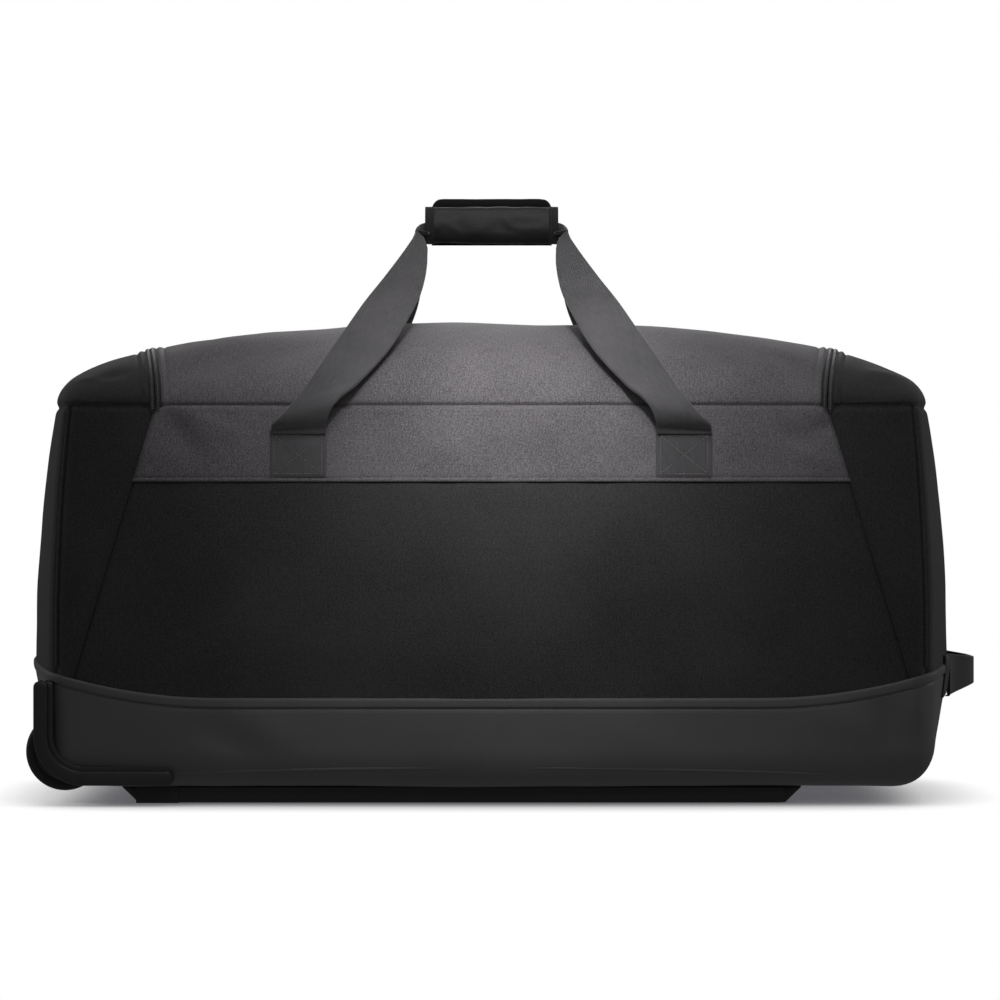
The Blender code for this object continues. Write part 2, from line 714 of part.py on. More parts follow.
def build_guards():
    """The L-shaped moulded guard: down the corner, round a bend and along the bottom edge."""
    bend_x = GUARD_OUTER_X + GUARD_BEND
    bend_z = GUARD_LOW_Z + GUARD_BEND
    for side, word in ((-1, "near"), (1, "far")):
        outline = [(GUARD_OUTER_X, GUARD_TOP_Z)]
        outline += [
            (bend_x - GUARD_BEND * math.cos(angle), bend_z - GUARD_BEND * math.sin(angle))
            for angle in (math.radians(10 * k) for k in range(10))
        ]
        outline += [(GUARD_END_X, GUARD_LOW_Z), (GUARD_END_X, GUARD_LOW_Z + GUARD_WIDTH)]
        inner = GUARD_BEND - GUARD_WIDTH
        outline += [
            (bend_x - inner * math.cos(angle), bend_z - inner * math.sin(angle))
            for angle in (math.radians(10 * k) for k in range(9, -1, -1))
        ]
        outline.append((GUARD_OUTER_X + GUARD_WIDTH, GUARD_TOP_Z))
        bm = bmesh.new()
        face = bm.faces.new([bm.verts.new((x, side * GUARD_Y[1], z)) for x, z in outline])
        grown = bmesh.ops.extrude_face_region(bm, geom=[face])
        for item in grown["geom"]:
            if isinstance(item, bmesh.types.BMVert):
                item.co.y = side * GUARD_Y[0]
        bmesh.ops.recalc_face_normals(bm, faces=bm.faces)
        add_object(word + "_corner_guard", bm, "moulded_plastic")


# ---- tow handle ---------------------------------------------------------------------
def end_face_x(y, z, out):
    return section_point(abs(y), z)[0] + MIDDLE_X + out


def build_tow_handle():
    for side, word in ((-1, "near"), (1, "far")):
        def point_at(u, v, side=side):
            y = side * (TOW_HALF_SPAN + 0.002 + u * 0.034)
            z = TOW_Z + (v - 0.5) * TOW_WIDTH[0]
            return (end_face_x(y, z, GAP), y, z)
        sheet(word + "_tow_patch", point_at, 3, 2, "webbing", WEBBING_THICK, offset=1.0)

    def point_at(u, v):
        y = TOW_HALF_SPAN * (2.0 * v - 1.0)
        swell = 0.5 + 0.5 * math.cos(math.pi * (2.0 * v - 1.0))
        width = blend(TOW_WIDTH[0], TOW_WIDTH[1], swell)
        x = blend(TOW_PIVOT_X, TOW_REACH_X, swell)
        return (x, y, TOW_Z + (u - 0.5) * width)
    strap = sheet("tow_strap", point_at, 2, 16, "webbing", WEBBING_THICK, offset=0.0)
    pivot_at(strap, (TOW_PIVOT_X, 0.0, TOW_Z + TOW_WIDTH[0] / 2))


# ---- build --------------------------------------------------------------------------
clear_scene()
PARTS = make_collection("hockey_equipment_bag")
CUTTERS = make_collection("cutters")
HINGE = (MIDDLE_X, -DEPTH_TOP, SEAM_Z)
SLOT = add_cutter(
    "webbing_slot",
    box_mesh(
        (MIDDLE_X - 0.080, -GRIP_Y - 0.0024, GRIP_Z - FOLDED_WEBBING / 2 - 0.0010),
        (MIDDLE_X + 0.080, -GRIP_Y + 0.0024, GRIP_Z + FOLDED_WEBBING / 2 + 0.0010),
    ),
)
build_walls()
build_top_caps()
build_wrap()
build_base_board()
build_lid()
build_zip()
build_strap("near_strap", -1, -GRIP_Y)
build_strap("far_strap", 1, FAR_GRIP_Y)
build_grips()
build_patches()
build_rails()
build_wheels()
build_housings()
build_guards()
build_tow_handle()
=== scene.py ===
"""Looks of the wheeled hockey equipment bag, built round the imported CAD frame.

Fabric walls are fine grids on the body's surface, thickened and tucked in at their seams.
Webbing, piping, stitches and zip teeth are swept along routes on that surface.
"""
import math

import bmesh
import bpy
import numpy as np
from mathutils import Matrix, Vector, noise


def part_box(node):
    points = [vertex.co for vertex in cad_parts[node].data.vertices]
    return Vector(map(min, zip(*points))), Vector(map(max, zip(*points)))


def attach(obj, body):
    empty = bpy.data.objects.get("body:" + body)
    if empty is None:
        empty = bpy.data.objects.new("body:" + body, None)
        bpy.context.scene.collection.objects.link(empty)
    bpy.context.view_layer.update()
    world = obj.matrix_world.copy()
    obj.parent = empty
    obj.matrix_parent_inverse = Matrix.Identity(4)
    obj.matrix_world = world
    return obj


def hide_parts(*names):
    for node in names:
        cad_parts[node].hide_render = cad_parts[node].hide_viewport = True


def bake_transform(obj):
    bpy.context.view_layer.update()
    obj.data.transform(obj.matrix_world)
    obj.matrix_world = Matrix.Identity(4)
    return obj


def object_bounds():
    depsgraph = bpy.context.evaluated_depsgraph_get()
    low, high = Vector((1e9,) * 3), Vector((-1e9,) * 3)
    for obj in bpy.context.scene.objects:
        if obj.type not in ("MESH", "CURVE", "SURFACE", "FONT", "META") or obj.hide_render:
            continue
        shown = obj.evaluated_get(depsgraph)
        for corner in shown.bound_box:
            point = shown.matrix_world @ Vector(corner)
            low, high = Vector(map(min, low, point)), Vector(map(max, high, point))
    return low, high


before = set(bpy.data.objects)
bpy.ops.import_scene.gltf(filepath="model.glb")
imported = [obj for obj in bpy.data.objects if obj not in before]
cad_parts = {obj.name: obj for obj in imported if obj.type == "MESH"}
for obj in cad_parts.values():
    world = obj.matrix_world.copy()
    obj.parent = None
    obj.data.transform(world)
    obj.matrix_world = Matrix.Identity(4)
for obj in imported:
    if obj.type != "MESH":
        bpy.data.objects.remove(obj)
CAD_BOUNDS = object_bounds()

# ---- camera -------------------------------------------------------------------------
CAMERA_X = -0.006
CAMERA_DISTANCE = 3.6
CAMERA_Z = 0.281
FOCAL_MM = 134.2


def make_camera():
    data = bpy.data.cameras.new("camera")
    data.lens = FOCAL_MM
    data.sensor_width = 36.0
    camera = bpy.data.objects.new("camera", data)
    camera.location = (CAMERA_X, -CAMERA_DISTANCE, CAMERA_Z)
    camera.rotation_euler = (math.pi / 2, 0.0, 0.0)
    bpy.context.scene.collection.objects.link(camera)
    bpy.context.scene.camera = camera


# ---- the body's surface ---------------------------------------------------------------
MIDDLE_X = -0.014
FLOOR_Z = 0.018
BELLY_Z = 0.150
SEAM_Z = 0.368
LAP_Z = 0.300
CORNER_X = (0.391, 0.402)        # at the lid seam, at the belly
END_BULGE = (0.024, 0.034)
HALF_DEPTH = (0.184, 0.186)
SIDE_BULGE = 0.008
CORNER_RADIUS = 0.016
BOTTOM_RADIUS = 0.033
LID_RISE = 0.080
CROWN_POWER = 2.6
ZIP_X = (0.308, 0.326)           # at the lid seam, on the crown
ZIP_SPACE = 0.0058
SEAM_GAP = 0.0012
WRAP_Z = 0.100
WRAP_RISE = 0.034
WRAP_TURN_X = 0.250
GUSSET_LOW = (0.384, 0.115)      # half width and height where the slanted seams end
CLOTH = 0.0022
HEART = np.array([MIDDLE_X, 0.0, 0.15])


def mix(low, high, share):
    return low + (high - low) * share


def fullness(z):
    rise = np.clip((z - BELLY_Z) / (SEAM_Z - BELLY_Z), 0.0, 1.0)
    return 1.0 - rise ** 2


def corner_x(z):
    return mix(*CORNER_X, fullness(z))


def half_depth(z):
    return mix(*HALF_DEPTH, fullness(z))


def end_bulge(z):
    """How far the end faces bulge; less towards the floor."""
    drop = np.clip((0.125 - z) / 0.107, 0.0, 1.0) ** 1.2
    return mix(*END_BULGE, fullness(z)) * (1.0 - 0.75 * drop)


def end_x(y, z):
    return corner_x(z) + end_bulge(z) * (1.0 - (y / half_depth(z)) ** 2)


def section(zone, z, inset=0.0):
    """Points of the body's outline. zone runs 0 to 1 over the half end face, 1 to 2 round the corner
    and 2 to 3 along the side; z and inset broadcast with it."""
    zone, z, inset = np.broadcast_arrays(np.asarray(zone, float), z, inset)
    corner = corner_x(z) - inset
    depth = half_depth(z) - inset
    radius = np.maximum(CORNER_RADIUS - inset, 0.006)
    flat = depth - radius
    end_share = np.clip(zone, 0.0, 1.0)
    turn = np.clip(zone - 1.0, 0.0, 1.0) * math.pi / 2
    side_share = np.clip(zone - 2.0, 0.0, 1.0)
    x = corner - radius + radius * np.cos(turn) - side_share * (corner - radius)
    y = flat * end_share + radius * np.sin(turn)
    x = x + np.where(zone < 2.0, end_bulge(z) * (1.0 - (y / depth) ** 2), 0.0)
    swell = SIDE_BULGE * fullness(z) * (1.0 - np.clip(x / corner, 0.0, 1.0) ** 2)
    y = y + swell * (y / depth) ** 8
    return x, y


def side_y(x, z, out=0.0):
    swell = SIDE_BULGE * fullness(z) * (1.0 - (x / corner_x(z)) ** 2)
    return half_depth(z) + swell + out


def wrap_edge_z(x):
    rise = np.maximum(0.0, (np.abs(x) - WRAP_TURN_X) / (0.436 - WRAP_TURN_X))
    return WRAP_Z + WRAP_RISE * rise ** 2


def gusset_x(z, side):
    top = ZIP_X[0] if side < 0 else ZIP_X[0] + ZIP_SPACE
    return mix(GUSSET_LOW[0], top, (z - GUSSET_LOW[1]) / (SEAM_Z - GUSSET_LOW[1]))


def crown(share):
    return np.sqrt(np.maximum(0.0, 1.0 - np.clip(np.abs(share), 0.0, 1.0) ** CROWN_POWER))


OUTLINE_ZONES = np.linspace(0.0, 3.0, 241)
OUTLINE_X, OUTLINE_Y = section(OUTLINE_ZONES, SEAM_Z)


def top_half_depth(x):
    return np.interp(np.abs(x), OUTLINE_X[::-1], OUTLINE_Y[::-1], right=0.0)


def top_z(x, y):
    depth = np.maximum(top_half_depth(x), 1e-6)
    reach = CORNER_X[0] + END_BULGE[0]
    return SEAM_Z + SEAM_GAP + LID_RISE * crown(x / reach) * crown(y / depth)


def zip_x(y):
    return mix(ZIP_X[1], ZIP_X[0], (y / HALF_DEPTH[0]) ** 2)


# ---- cloth grids ----------------------------------------------------------------------
def arc_lengths(points, axis):
    steps = np.linalg.norm(np.diff(points, axis=axis), axis=-1)
    start = np.zeros_like(np.take(steps, [0], axis=axis))
    return np.concatenate([start, np.cumsum(steps, axis=axis)], axis=axis)


def at_lengths(even, along, route):
    """The route's columns read off at the given lengths along it."""
    return np.stack([np.interp(even, along, route[:, k]) for k in range(route.shape[1])], axis=-1)


def unit(vectors):
    return vectors / np.maximum(np.linalg.norm(vectors, axis=-1, keepdims=True), 1e-12)


def shares(length, step=0.006):
    """Grid positions 0 to 1, close together near both ends so that seams can curl in."""
    edge = np.array([0.0, 0.0006, 0.0014, 0.0024, 0.0036, 0.0052, 0.0072])
    middle = np.linspace(0.0095, length - 0.0095, max(3, int(length / step)))
    return np.concatenate([edge, middle, (length - edge)[::-1]]) / length


def face_out(points, heart):
    """Unit normals of a grid, turned away from the heart."""
    along = np.gradient(points, axis=1)
    up = np.gradient(points, axis=0)
    normals = unit(np.cross(along, up))
    if np.sum(normals * (points - heart)) < 0.0:
        normals = -normals
    return normals


def edge_fall(points, sides=("left", "right", "low", "high")):
    """Distance of each grid point to the nearest of the named edges."""
    across = arc_lengths(points, 1)
    upward = arc_lengths(points, 0)
    distances = {
        "left": across, "right": across[:, -1:] - across,
        "low": upward, "high": upward[-1:] - upward,
    }
    return np.minimum.reduce([distances[side] for side in sides])


def tuck(distance, depth=0.0016, width=0.0034):
    return -depth * np.exp(-(distance / width) ** 2)


def ridge(distance, middle, width):
    """A hump of height 1 that runs along an edge, its top at distance middle."""
    return np.exp(-((distance - middle) / width) ** 2)


def cloth_noise(points, size, seed):
    scaled = (points / np.asarray(size, float) + seed).reshape(-1, 3)
    values = np.fromiter((noise.noise(Vector(p)) for p in scaled), float, len(scaled))
    return values.reshape(points.shape[:-1])


def crease(points, start, stop, width, depth):
    """A soft fold along a line that fades at both ends."""
    start, stop = np.array(start), np.array(stop)
    run = stop - start
    share = np.clip((points - start) @ run / (run @ run), 0.0, 1.0)
    nearest = start + share[..., None] * run
    distance = np.linalg.norm(points - nearest, axis=-1)
    return depth * np.exp(-(distance / width) ** 2) * np.sin(np.pi * np.clip(share, 0.02, 0.98))


def add_folds(bump, points, creases):
    for start, stop, width, depth in creases:
        bump += crease(points, start, stop, width, depth)


def grid_faces(rows, columns, start, flip):
    i, j = np.meshgrid(np.arange(rows - 1), np.arange(columns - 1), indexing="ij")
    first = start + i * columns + j
    faces = np.stack([first, first + 1, first + columns + 1, first + columns], axis=-1).reshape(-1, 4)
    return faces[:, ::-1] if flip else faces


def tube_faces(rows, sides, closed=False):
    """Faces between rings of points; an open tube gets a cap at each end."""
    faces = []
    for i in range(rows if closed else rows - 1):
        here, after = i * sides, (i + 1) % rows * sides
        for j in range(sides):
            k = (j + 1) % sides
            faces.append((here + j, here + k, after + k, after + j))
    if not closed:
        faces.append(tuple(range(sides))[::-1])
        faces.append(tuple((rows - 1) * sides + j for j in range(sides)))
    return faces


def new_object(name, verts, faces, uvs, materials, face_material=None, sharp_degrees=40):
    mesh = bpy.data.meshes.new(name)
    mesh.from_pydata([tuple(v) for v in verts], [], [tuple(int(i) for i in f) for f in faces])
    if uvs is not None:
        layer = mesh.uv_layers.new(name="cloth")
        loops = np.zeros(len(mesh.loops), dtype=np.int32)
        mesh.loops.foreach_get("vertex_index", loops)
        layer.data.foreach_set("uv", np.asarray(uvs, np.float32)[loops].ravel())
    for material in materials:
        mesh.materials.append(material)
    if face_material is not None:
        mesh.polygons.foreach_set("material_index", np.asarray(face_material, dtype=np.int32))
    mesh.validate()
    mesh.shade_smooth()
    mesh.set_sharp_from_angle(angle=math.radians(sharp_degrees))
    obj = bpy.data.objects.new(name, mesh)
    bpy.context.scene.collection.objects.link(obj)
    return obj


def cloth(name, points, bump, material, lining, thickness=CLOTH, heart=HEART):
    """A closed piece of cloth: the grid moved out by bump, an inner face and a rim."""
    rows, columns = points.shape[:2]
    normals = face_out(points, heart)
    outer = points + normals * bump[..., None]
    inner = outer - normals * thickness
    uv = np.stack([arc_lengths(points, 1), arc_lengths(points, 0)], axis=-1)
    i, j = rows // 2, columns // 2
    sample = np.cross(points[i, j + 1] - points[i, j], points[i + 1, j] - points[i, j])
    flip = sample @ normals[i, j] < 0.0
    count = rows * columns
    faces = [grid_faces(rows, columns, 0, flip), grid_faces(rows, columns, count, not flip)]
    kinds = [0] * len(faces[0]) + [1] * len(faces[1])
    border = [(0, j) for j in range(columns)]
    border += [(i, columns - 1) for i in range(1, rows)]
    border += [(rows - 1, j) for j in range(columns - 2, -1, -1)]
    border += [(i, 0) for i in range(rows - 2, 0, -1)]
    loop = np.array([i * columns + j for i, j in border])
    after = np.roll(loop, -1)
    rim = np.stack([loop, loop + count, after + count, after], axis=-1)
    faces.append(rim[:, ::-1] if flip else rim)
    kinds += [0] * len(rim)
    verts = np.concatenate([outer.reshape(-1, 3), inner.reshape(-1, 3)])
    uvs = np.concatenate([uv.reshape(-1, 2), uv.reshape(-1, 2)])
    return new_object(name, verts, np.concatenate(faces), uvs, [material, lining], kinds)


def place(obj, body, slot_name, *nodes):
    if body:
        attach(obj, body)
    if nodes:
        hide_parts(*nodes)
    return obj


# ---- swept pieces ---------------------------------------------------------------------
def directions(route, facing):
    """Unit tangent, across and facing vectors along a route."""
    tangent = unit(np.gradient(route, axis=0))
    facing = np.broadcast_to(facing, route.shape)
    facing = unit(facing - tangent * np.sum(facing * tangent, axis=1, keepdims=True))
    return tangent, np.cross(tangent, facing), facing


def sweep(name, route, facing, profile, width, thickness, material, closed=False, round_ends=0.0):
    """profile holds (across, facing) points of unit size, scaled by width and thickness."""
    tangent, across, facing = directions(route, facing)
    count, sides = len(route), len(profile)
    width = np.broadcast_to(width, count)
    thickness = np.broadcast_to(thickness, count)
    along = arc_lengths(route, 0)
    scale = np.ones(count)
    if round_ends:
        near = np.minimum(along, along[-1] - along)
        scale = np.sqrt(np.clip(1.0 - (1.0 - np.clip(near / round_ends, 0.0, 1.0)) ** 2, 0.02, 1.0))
    profile = np.array(profile)
    rings = (
        route[:, None, :]
        + across[:, None, :] * (profile[None, :, 0] * (width * scale)[:, None])[..., None]
        + facing[:, None, :] * (profile[None, :, 1] * (thickness * scale)[:, None])[..., None]
    )
    verts = rings.reshape(-1, 3)
    faces = tube_faces(count, sides, closed)
    around = profile[:, 0] * np.max(width)
    uvs = np.stack([np.tile(around, count), np.repeat(along, sides)], axis=-1)
    obj = new_object(name, verts, faces, uvs, [material], sharp_degrees=50)
    fix_normals(obj)
    return obj


def object_from_bmesh(name, bm, *materials):
    mesh = bpy.data.meshes.new(name)
    bm.to_mesh(mesh)
    bm.free()
    for material in materials:
        mesh.materials.append(material)
    obj = bpy.data.objects.new(name, mesh)
    bpy.context.scene.collection.objects.link(obj)
    return obj


def fix_normals(obj):
    bm = bmesh.new()
    bm.from_mesh(obj.data)
    bmesh.ops.recalc_face_normals(bm, faces=bm.faces)
    if bm.calc_volume(signed=True) < 0.0:
        bmesh.ops.reverse_faces(bm, faces=bm.faces)
    bm.to_mesh(obj.data)
    bm.free()


def ring(sides):
    angles = [2 * math.pi * k / sides for k in range(sides)]
    return [(0.5 * math.cos(angle), 0.5 * math.sin(angle)) for angle in angles]


def flat_ring(edge_share, per_corner=4):
    """A flat strip's outline with rounded edges; edge_share is thickness over width."""
    points = []
    inner = 0.5 - edge_share / 2
    for centre, start in ((inner, -90), (-inner, 90)):
        for k in range(per_corner + 1):
            angle = math.radians(start + 180.0 * k / per_corner)
            points.append((centre + edge_share / 2 * math.cos(angle), 0.5 * math.sin(angle)))
        if centre > 0:
            points += [(share * inner, 0.5) for share in (0.6, 0.2, -0.2, -0.6)]
        else:
            points += [(share * inner, -0.5) for share in (-0.6, -0.2, 0.2, 0.6)]
    return points


def superellipse(power, sides=24):
    points = []
    for k in range(sides):
        angle = 2 * math.pi * k / sides
        c, s = math.cos(angle), math.sin(angle)
        points.append((
            0.5 * math.copysign(abs(c) ** (2 / power), c),
            0.5 * math.copysign(abs(s) ** (2 / power), s),
        ))
    return points


def curve_through(points, step):
    """Points every step along a smooth curve through the given ones."""
    points = np.array(points, float)
    fine = []
    for index in range(len(points) - 1):
        before = points[max(0, index - 1)]
        start, stop = points[index], points[index + 1]
        after = points[min(len(points) - 1, index + 2)]
        t = np.linspace(0.0, 1.0, 24, endpoint=False)[:, None]
        fine.append(
            start * (2 * t ** 3 - 3 * t ** 2 + 1) + (stop - before) / 2 * (t ** 3 - 2 * t ** 2 + t)
            + stop * (3 * t ** 2 - 2 * t ** 3) + (after - start) / 2 * (t ** 3 - t ** 2)
        )
    fine = np.concatenate(fine + [points[-1:]])
    along = arc_lengths(fine[:, :3], 0)
    even = np.linspace(0.0, along[-1], max(4, int(along[-1] / step)))
    return at_lengths(even, along, fine)


def resample(route, step):
    along = arc_lengths(route, 0)
    return at_lengths(np.arange(step / 2, along[-1], step), along, route)


STITCH_PITCH = 0.0042
STITCH_LENGTH = 0.0031
STITCH_WIDTH = 0.0009
STITCH_HEIGHT = 0.0007
BEAD_STATIONS = np.array([(-0.5, 0.35), (-0.36, 0.85), (0.0, 1.0), (0.36, 0.85), (0.5, 0.35)])


def beads(name, centres, along, facing, length, width, height, material, sides=6):
    """Many small rounded bars in one object: stitches or zip teeth."""
    lengths, girths = BEAD_STATIONS[:, 0], BEAD_STATIONS[:, 1][:, None]
    across = np.cross(along, facing)
    circle = np.array(ring(sides)) * 2.0
    blocks = []
    for centre, direction, normal, other in zip(centres, along, facing, across):
        block = (
            centre
            + direction * (lengths * length)[:, None, None]
            + other * (circle[None, :, 0] * girths * width / 2)[..., None]
            + normal * (circle[None, :, 1] * girths * height / 2)[..., None]
        )
        blocks.append(block.reshape(-1, 3))
    template = tube_faces(len(BEAD_STATIONS), sides)
    faces = []
    for number in range(len(blocks)):
        shift = number * len(BEAD_STATIONS) * sides
        faces += [tuple(v + shift for v in face) for face in template]
    obj = new_object(name, np.concatenate(blocks), faces, None, [material], sharp_degrees=80)
    fix_normals(obj)
    return obj


def stitch_row(route, facing, gap=STITCH_PITCH):
    """Centres and directions of stitches along one line."""
    route = np.asarray(route, float)
    dense = resample(route, gap)
    tangent, _, normal = directions(dense, facing if np.ndim(facing) == 1 else facing(dense))
    return dense, tangent, normal


def stitches(name, rows, body, material):
    centres, along, facing = (np.concatenate(part) for part in zip(*rows))
    obj = beads(name, centres, along, facing, STITCH_LENGTH, STITCH_WIDTH, STITCH_HEIGHT, material)
    return place(obj, body, "webbing")


# ---- materials --------------------------------------------------------------------------
class Nodes:
    """Short helper for building a material's node tree."""

    def __init__(self, name):
        self.material = bpy.data.materials.new(name)
        self.material.use_nodes = True
        self.tree = self.material.node_tree
        self.shader = self.tree.nodes["Principled BSDF"]

    def add(self, kind, inputs=None, **settings):
        node = self.tree.nodes.new("ShaderNode" + kind)
        for key, value in settings.items():
            setattr(node, key, value)
        for key, value in (inputs or {}).items():
            if isinstance(value, bpy.types.NodeSocket):
                self.tree.links.new(value, node.inputs[key])
            else:
                node.inputs[key].default_value = value
        return node

    def link(self, output, target):
        self.tree.links.new(output, self.shader.inputs[target])

    def math(self, operation, first, second):
        return self.add("Math", {0: first, 1: second}, operation=operation).outputs[0]

    def mottle(self, vector, scale, detail=3.0, rough=0.55):
        inputs = {"Vector": vector, "Scale": scale, "Detail": detail, "Roughness": rough}
        return self.add("TexNoise", inputs).outputs["Fac"]

    def stretched(self, vector, factors):
        return self.add("Mapping", {"Vector": vector, "Scale": factors}).outputs["Vector"]

    def ramp(self, factor, stops):
        node = self.add("ValToRGB", {"Fac": factor})
        elements = node.color_ramp.elements
        for element, (position, colour) in zip(elements, stops):
            element.position = position
            element.color = (*colour, 1.0)
        return node.outputs["Color"]


def wave_scale(period):
    """Blender's band texture repeats every 2 pi / 20 of its scaled coordinate."""
    return 2 * math.pi / (20.0 * period)


def woven(name, colour, variation, roughness, pitch=0.0011, sheen=0.3, specular=0.35, slub=0.5, bump=0.6):
    """Plain-weave cloth in the piece's own cloth coordinates, in metres."""
    n = Nodes(name)
    uv = n.add("UVMap", uv_map="cloth").outputs["UV"]
    body = n.add("TexCoord").outputs["Object"]
    warp = n.add("TexWave", {"Vector": uv, "Scale": wave_scale(pitch)}, bands_direction="X").outputs["Fac"]
    weft = n.add("TexWave", {"Vector": uv, "Scale": wave_scale(pitch)}, bands_direction="Y").outputs["Fac"]
    threads = n.math("MULTIPLY", n.math("ADD", warp, weft), 0.5)
    lengthways = n.mottle(n.stretched(uv, (900.0, 120.0, 1.0)), 1.0, 2.0)
    speckle = n.mottle(n.stretched(uv, (700.0, 600.0, 1.0)), 1.0, 2.0)
    grain = n.math("ADD", n.math("MULTIPLY", lengthways, 0.35), n.math("MULTIPLY", speckle, 0.65))
    cloud = n.mottle(body, 9.0, 4.0)
    shade = n.math("ADD", n.math("MULTIPLY", grain, slub), n.math("MULTIPLY", cloud, 1.0 - slub))
    low = tuple(c * (1.0 - variation) for c in colour)
    high = tuple(c * (1.0 + variation) for c in colour)
    n.link(n.ramp(shade, ((0.38, low), (0.62, high))), "Base Color")
    rough = n.add("MapRange", {"Value": cloud, "To Min": roughness - 0.05, "To Max": roughness + 0.05})
    n.link(rough.outputs["Result"], "Roughness")
    height = n.math("ADD", threads, n.math("MULTIPLY", grain, 1.4))
    normal = n.add("Bump", {"Height": height, "Strength": bump, "Distance": 0.00025})
    n.link(normal.outputs["Normal"], "Normal")
    n.shader.inputs["Sheen Weight"].default_value = sheen
    n.shader.inputs["Sheen Roughness"].default_value = 0.45
    n.shader.inputs["Specular IOR Level"].default_value = specular
    return n.material


def ribbed(name, colour, rib=0.0016):
    """Webbing: ribs along its length, crossed by a finer pick."""
    n = Nodes(name)
    uv = n.add("UVMap", uv_map="cloth").outputs["UV"]
    body = n.add("TexCoord").outputs["Object"]
    ribs = n.add("TexWave", {"Vector": uv, "Scale": wave_scale(rib)}, bands_direction="X").outputs["Fac"]
    pick = {"Vector": uv, "Scale": wave_scale(rib * 0.8)}
    picks = n.add("TexWave", pick, bands_direction="Y").outputs["Fac"]
    height = n.math("ADD", ribs, n.math("MULTIPLY", picks, 0.5))
    grain = n.mottle(n.stretched(uv, (700.0, 90.0, 1.0)), 1.0, 3.0)
    cloud = n.mottle(body, 22.0)
    shade = n.math("MULTIPLY", n.math("ADD", grain, cloud), 0.5)
    low = tuple(c * 0.78 for c in colour)
    high = tuple(c * 1.22 for c in colour)
    n.link(n.ramp(shade, ((0.36, low), (0.64, high))), "Base Color")
    normal = n.add("Bump", {"Height": height, "Strength": 0.45, "Distance": 0.0003})
    n.link(normal.outputs["Normal"], "Normal")
    n.shader.inputs["Roughness"].default_value = 0.72
    n.shader.inputs["Sheen Weight"].default_value = 0.35
    n.shader.inputs["Sheen Roughness"].default_value = 0.4
    n.shader.inputs["Specular IOR Level"].default_value = 0.4
    return n.material


def moulded(name, colour, roughness=0.42, grain_scale=900.0, bump=0.25):
    """Plastic or rubber with a fine moulded grain and duller scuffed patches."""
    n = Nodes(name)
    body = n.add("TexCoord").outputs["Object"]
    grain = n.mottle(body, grain_scale, 2.0)
    scuff = n.mottle(body, 38.0, 5.0, 0.65)
    low = tuple(c * 0.85 for c in colour)
    high = tuple(c * 1.35 for c in colour)
    n.link(n.ramp(scuff, ((0.40, low), (0.70, high))), "Base Color")
    rough = n.add("MapRange", {"Value": scuff, "To Min": roughness - 0.08, "To Max": roughness + 0.12})
    n.link(rough.outputs["Result"], "Roughness")
    normal = n.add("Bump", {"Height": grain, "Strength": bump, "Distance": 0.0002})
    n.link(normal.outputs["Normal"], "Normal")
    return n.material


def metal(name, colour, roughness):
    n = Nodes(name)
    body = n.add("TexCoord").outputs["Object"]
    smear = n.mottle(n.stretched(body, (1.0, 12.0, 1.0)), 120.0, 3.0)
    rough = n.add("MapRange", {"Value": smear, "To Min": roughness - 0.07, "To Max": roughness + 0.10})
    n.link(rough.outputs["Result"], "Roughness")
    n.shader.inputs["Base Color"].default_value = (*colour, 1.0)
    n.shader.inputs["Metallic"].default_value = 1.0
    return n.material


# Painted top light: the same fabric as black_cloth, made lighter for the lid and the upper side panels, where
# light from above falls.
TOP_LIT_CLOTH = woven("cloth_painted_top_light", (0.140, 0.131, 0.140), 0.50, 0.72, sheen=0.10, specular=0.25, slub=0.75)
BLACK = woven("black_cloth", (0.0355, 0.0344, 0.0365), 0.50, 0.72, sheen=0.10, specular=0.25, slub=0.75)
COATED = woven(
    "coated_cloth", (0.1000, 0.0980, 0.1020), 0.10, 0.52, pitch=0.0016, sheen=0.0, specular=0.40, bump=0.25,
)
SATIN = woven(
    "satin_cloth", (0.0130, 0.0128, 0.0136), 0.12, 0.48, pitch=0.0008, sheen=0.0, specular=0.4, bump=0.35,
)
FLAP_CLOTH = woven("flap_cloth", (0.0090, 0.0090, 0.0095), 0.15, 0.70, pitch=0.0008, sheen=0.0, specular=0.12)
LINING = woven("lining_cloth", (0.060, 0.060, 0.064), 0.10, 0.60, pitch=0.0009, sheen=0.0, bump=0.3)
WEBBING = ribbed("webbing", (0.086, 0.082, 0.087))
# Dark webbing of the grip bands and the tow loop; on the straps' folded necks the same colour is painted shade.
DARK_WEBBING_AND_FOLD_SHADE = ribbed("dark_webbing_and_fold_shade", (0.0125, 0.0124, 0.0130), rib=0.0013)
TAPE = ribbed("zip_tape", (0.022, 0.022, 0.023), rib=0.0009)
THREAD = moulded("thread", (0.160, 0.156, 0.162), 0.6, 2500.0, 0.4)
DARK_THREAD = moulded("dark_thread", (0.022, 0.022, 0.023), 0.6, 2500.0, 0.4)
# Painted highlight: the coil is made light grey so the teeth show as bright dots along the zip.
ZIP_COIL_PAINTED_HIGHLIGHT = moulded("zip_coil_painted_highlight", (0.110, 0.108, 0.112), 0.28, 1500.0, 0.1)
PLASTIC = moulded("moulded_plastic", (0.0230, 0.0228, 0.0240), 0.42)
RAIL = moulded("rail_plastic", (0.0150, 0.0150, 0.0160), 0.46)
RUBBER = moulded("tyre_rubber", (0.0120, 0.0120, 0.0125), 0.62, 600.0, 0.4)
ZIP_METAL = metal("zip_metal", (0.060, 0.060, 0.064), 0.36)
STEEL = metal("steel", (0.55, 0.55, 0.56), 0.30)
BOARD = moulded("base_board_plastic", (0.020, 0.020, 0.021), 0.60)


# ---- fabric walls -------------------------------------------------------------------------
def wall_bump(points, seed, amount=0.0018):
    """Broad slack and finer ripples shared by neighbouring panels."""
    broad = cloth_noise(points, (0.16, 0.16, 0.11), seed)
    fine = cloth_noise(points, (0.050, 0.050, 0.034), seed + 7.0)
    return amount * broad + 0.35 * amount * fine


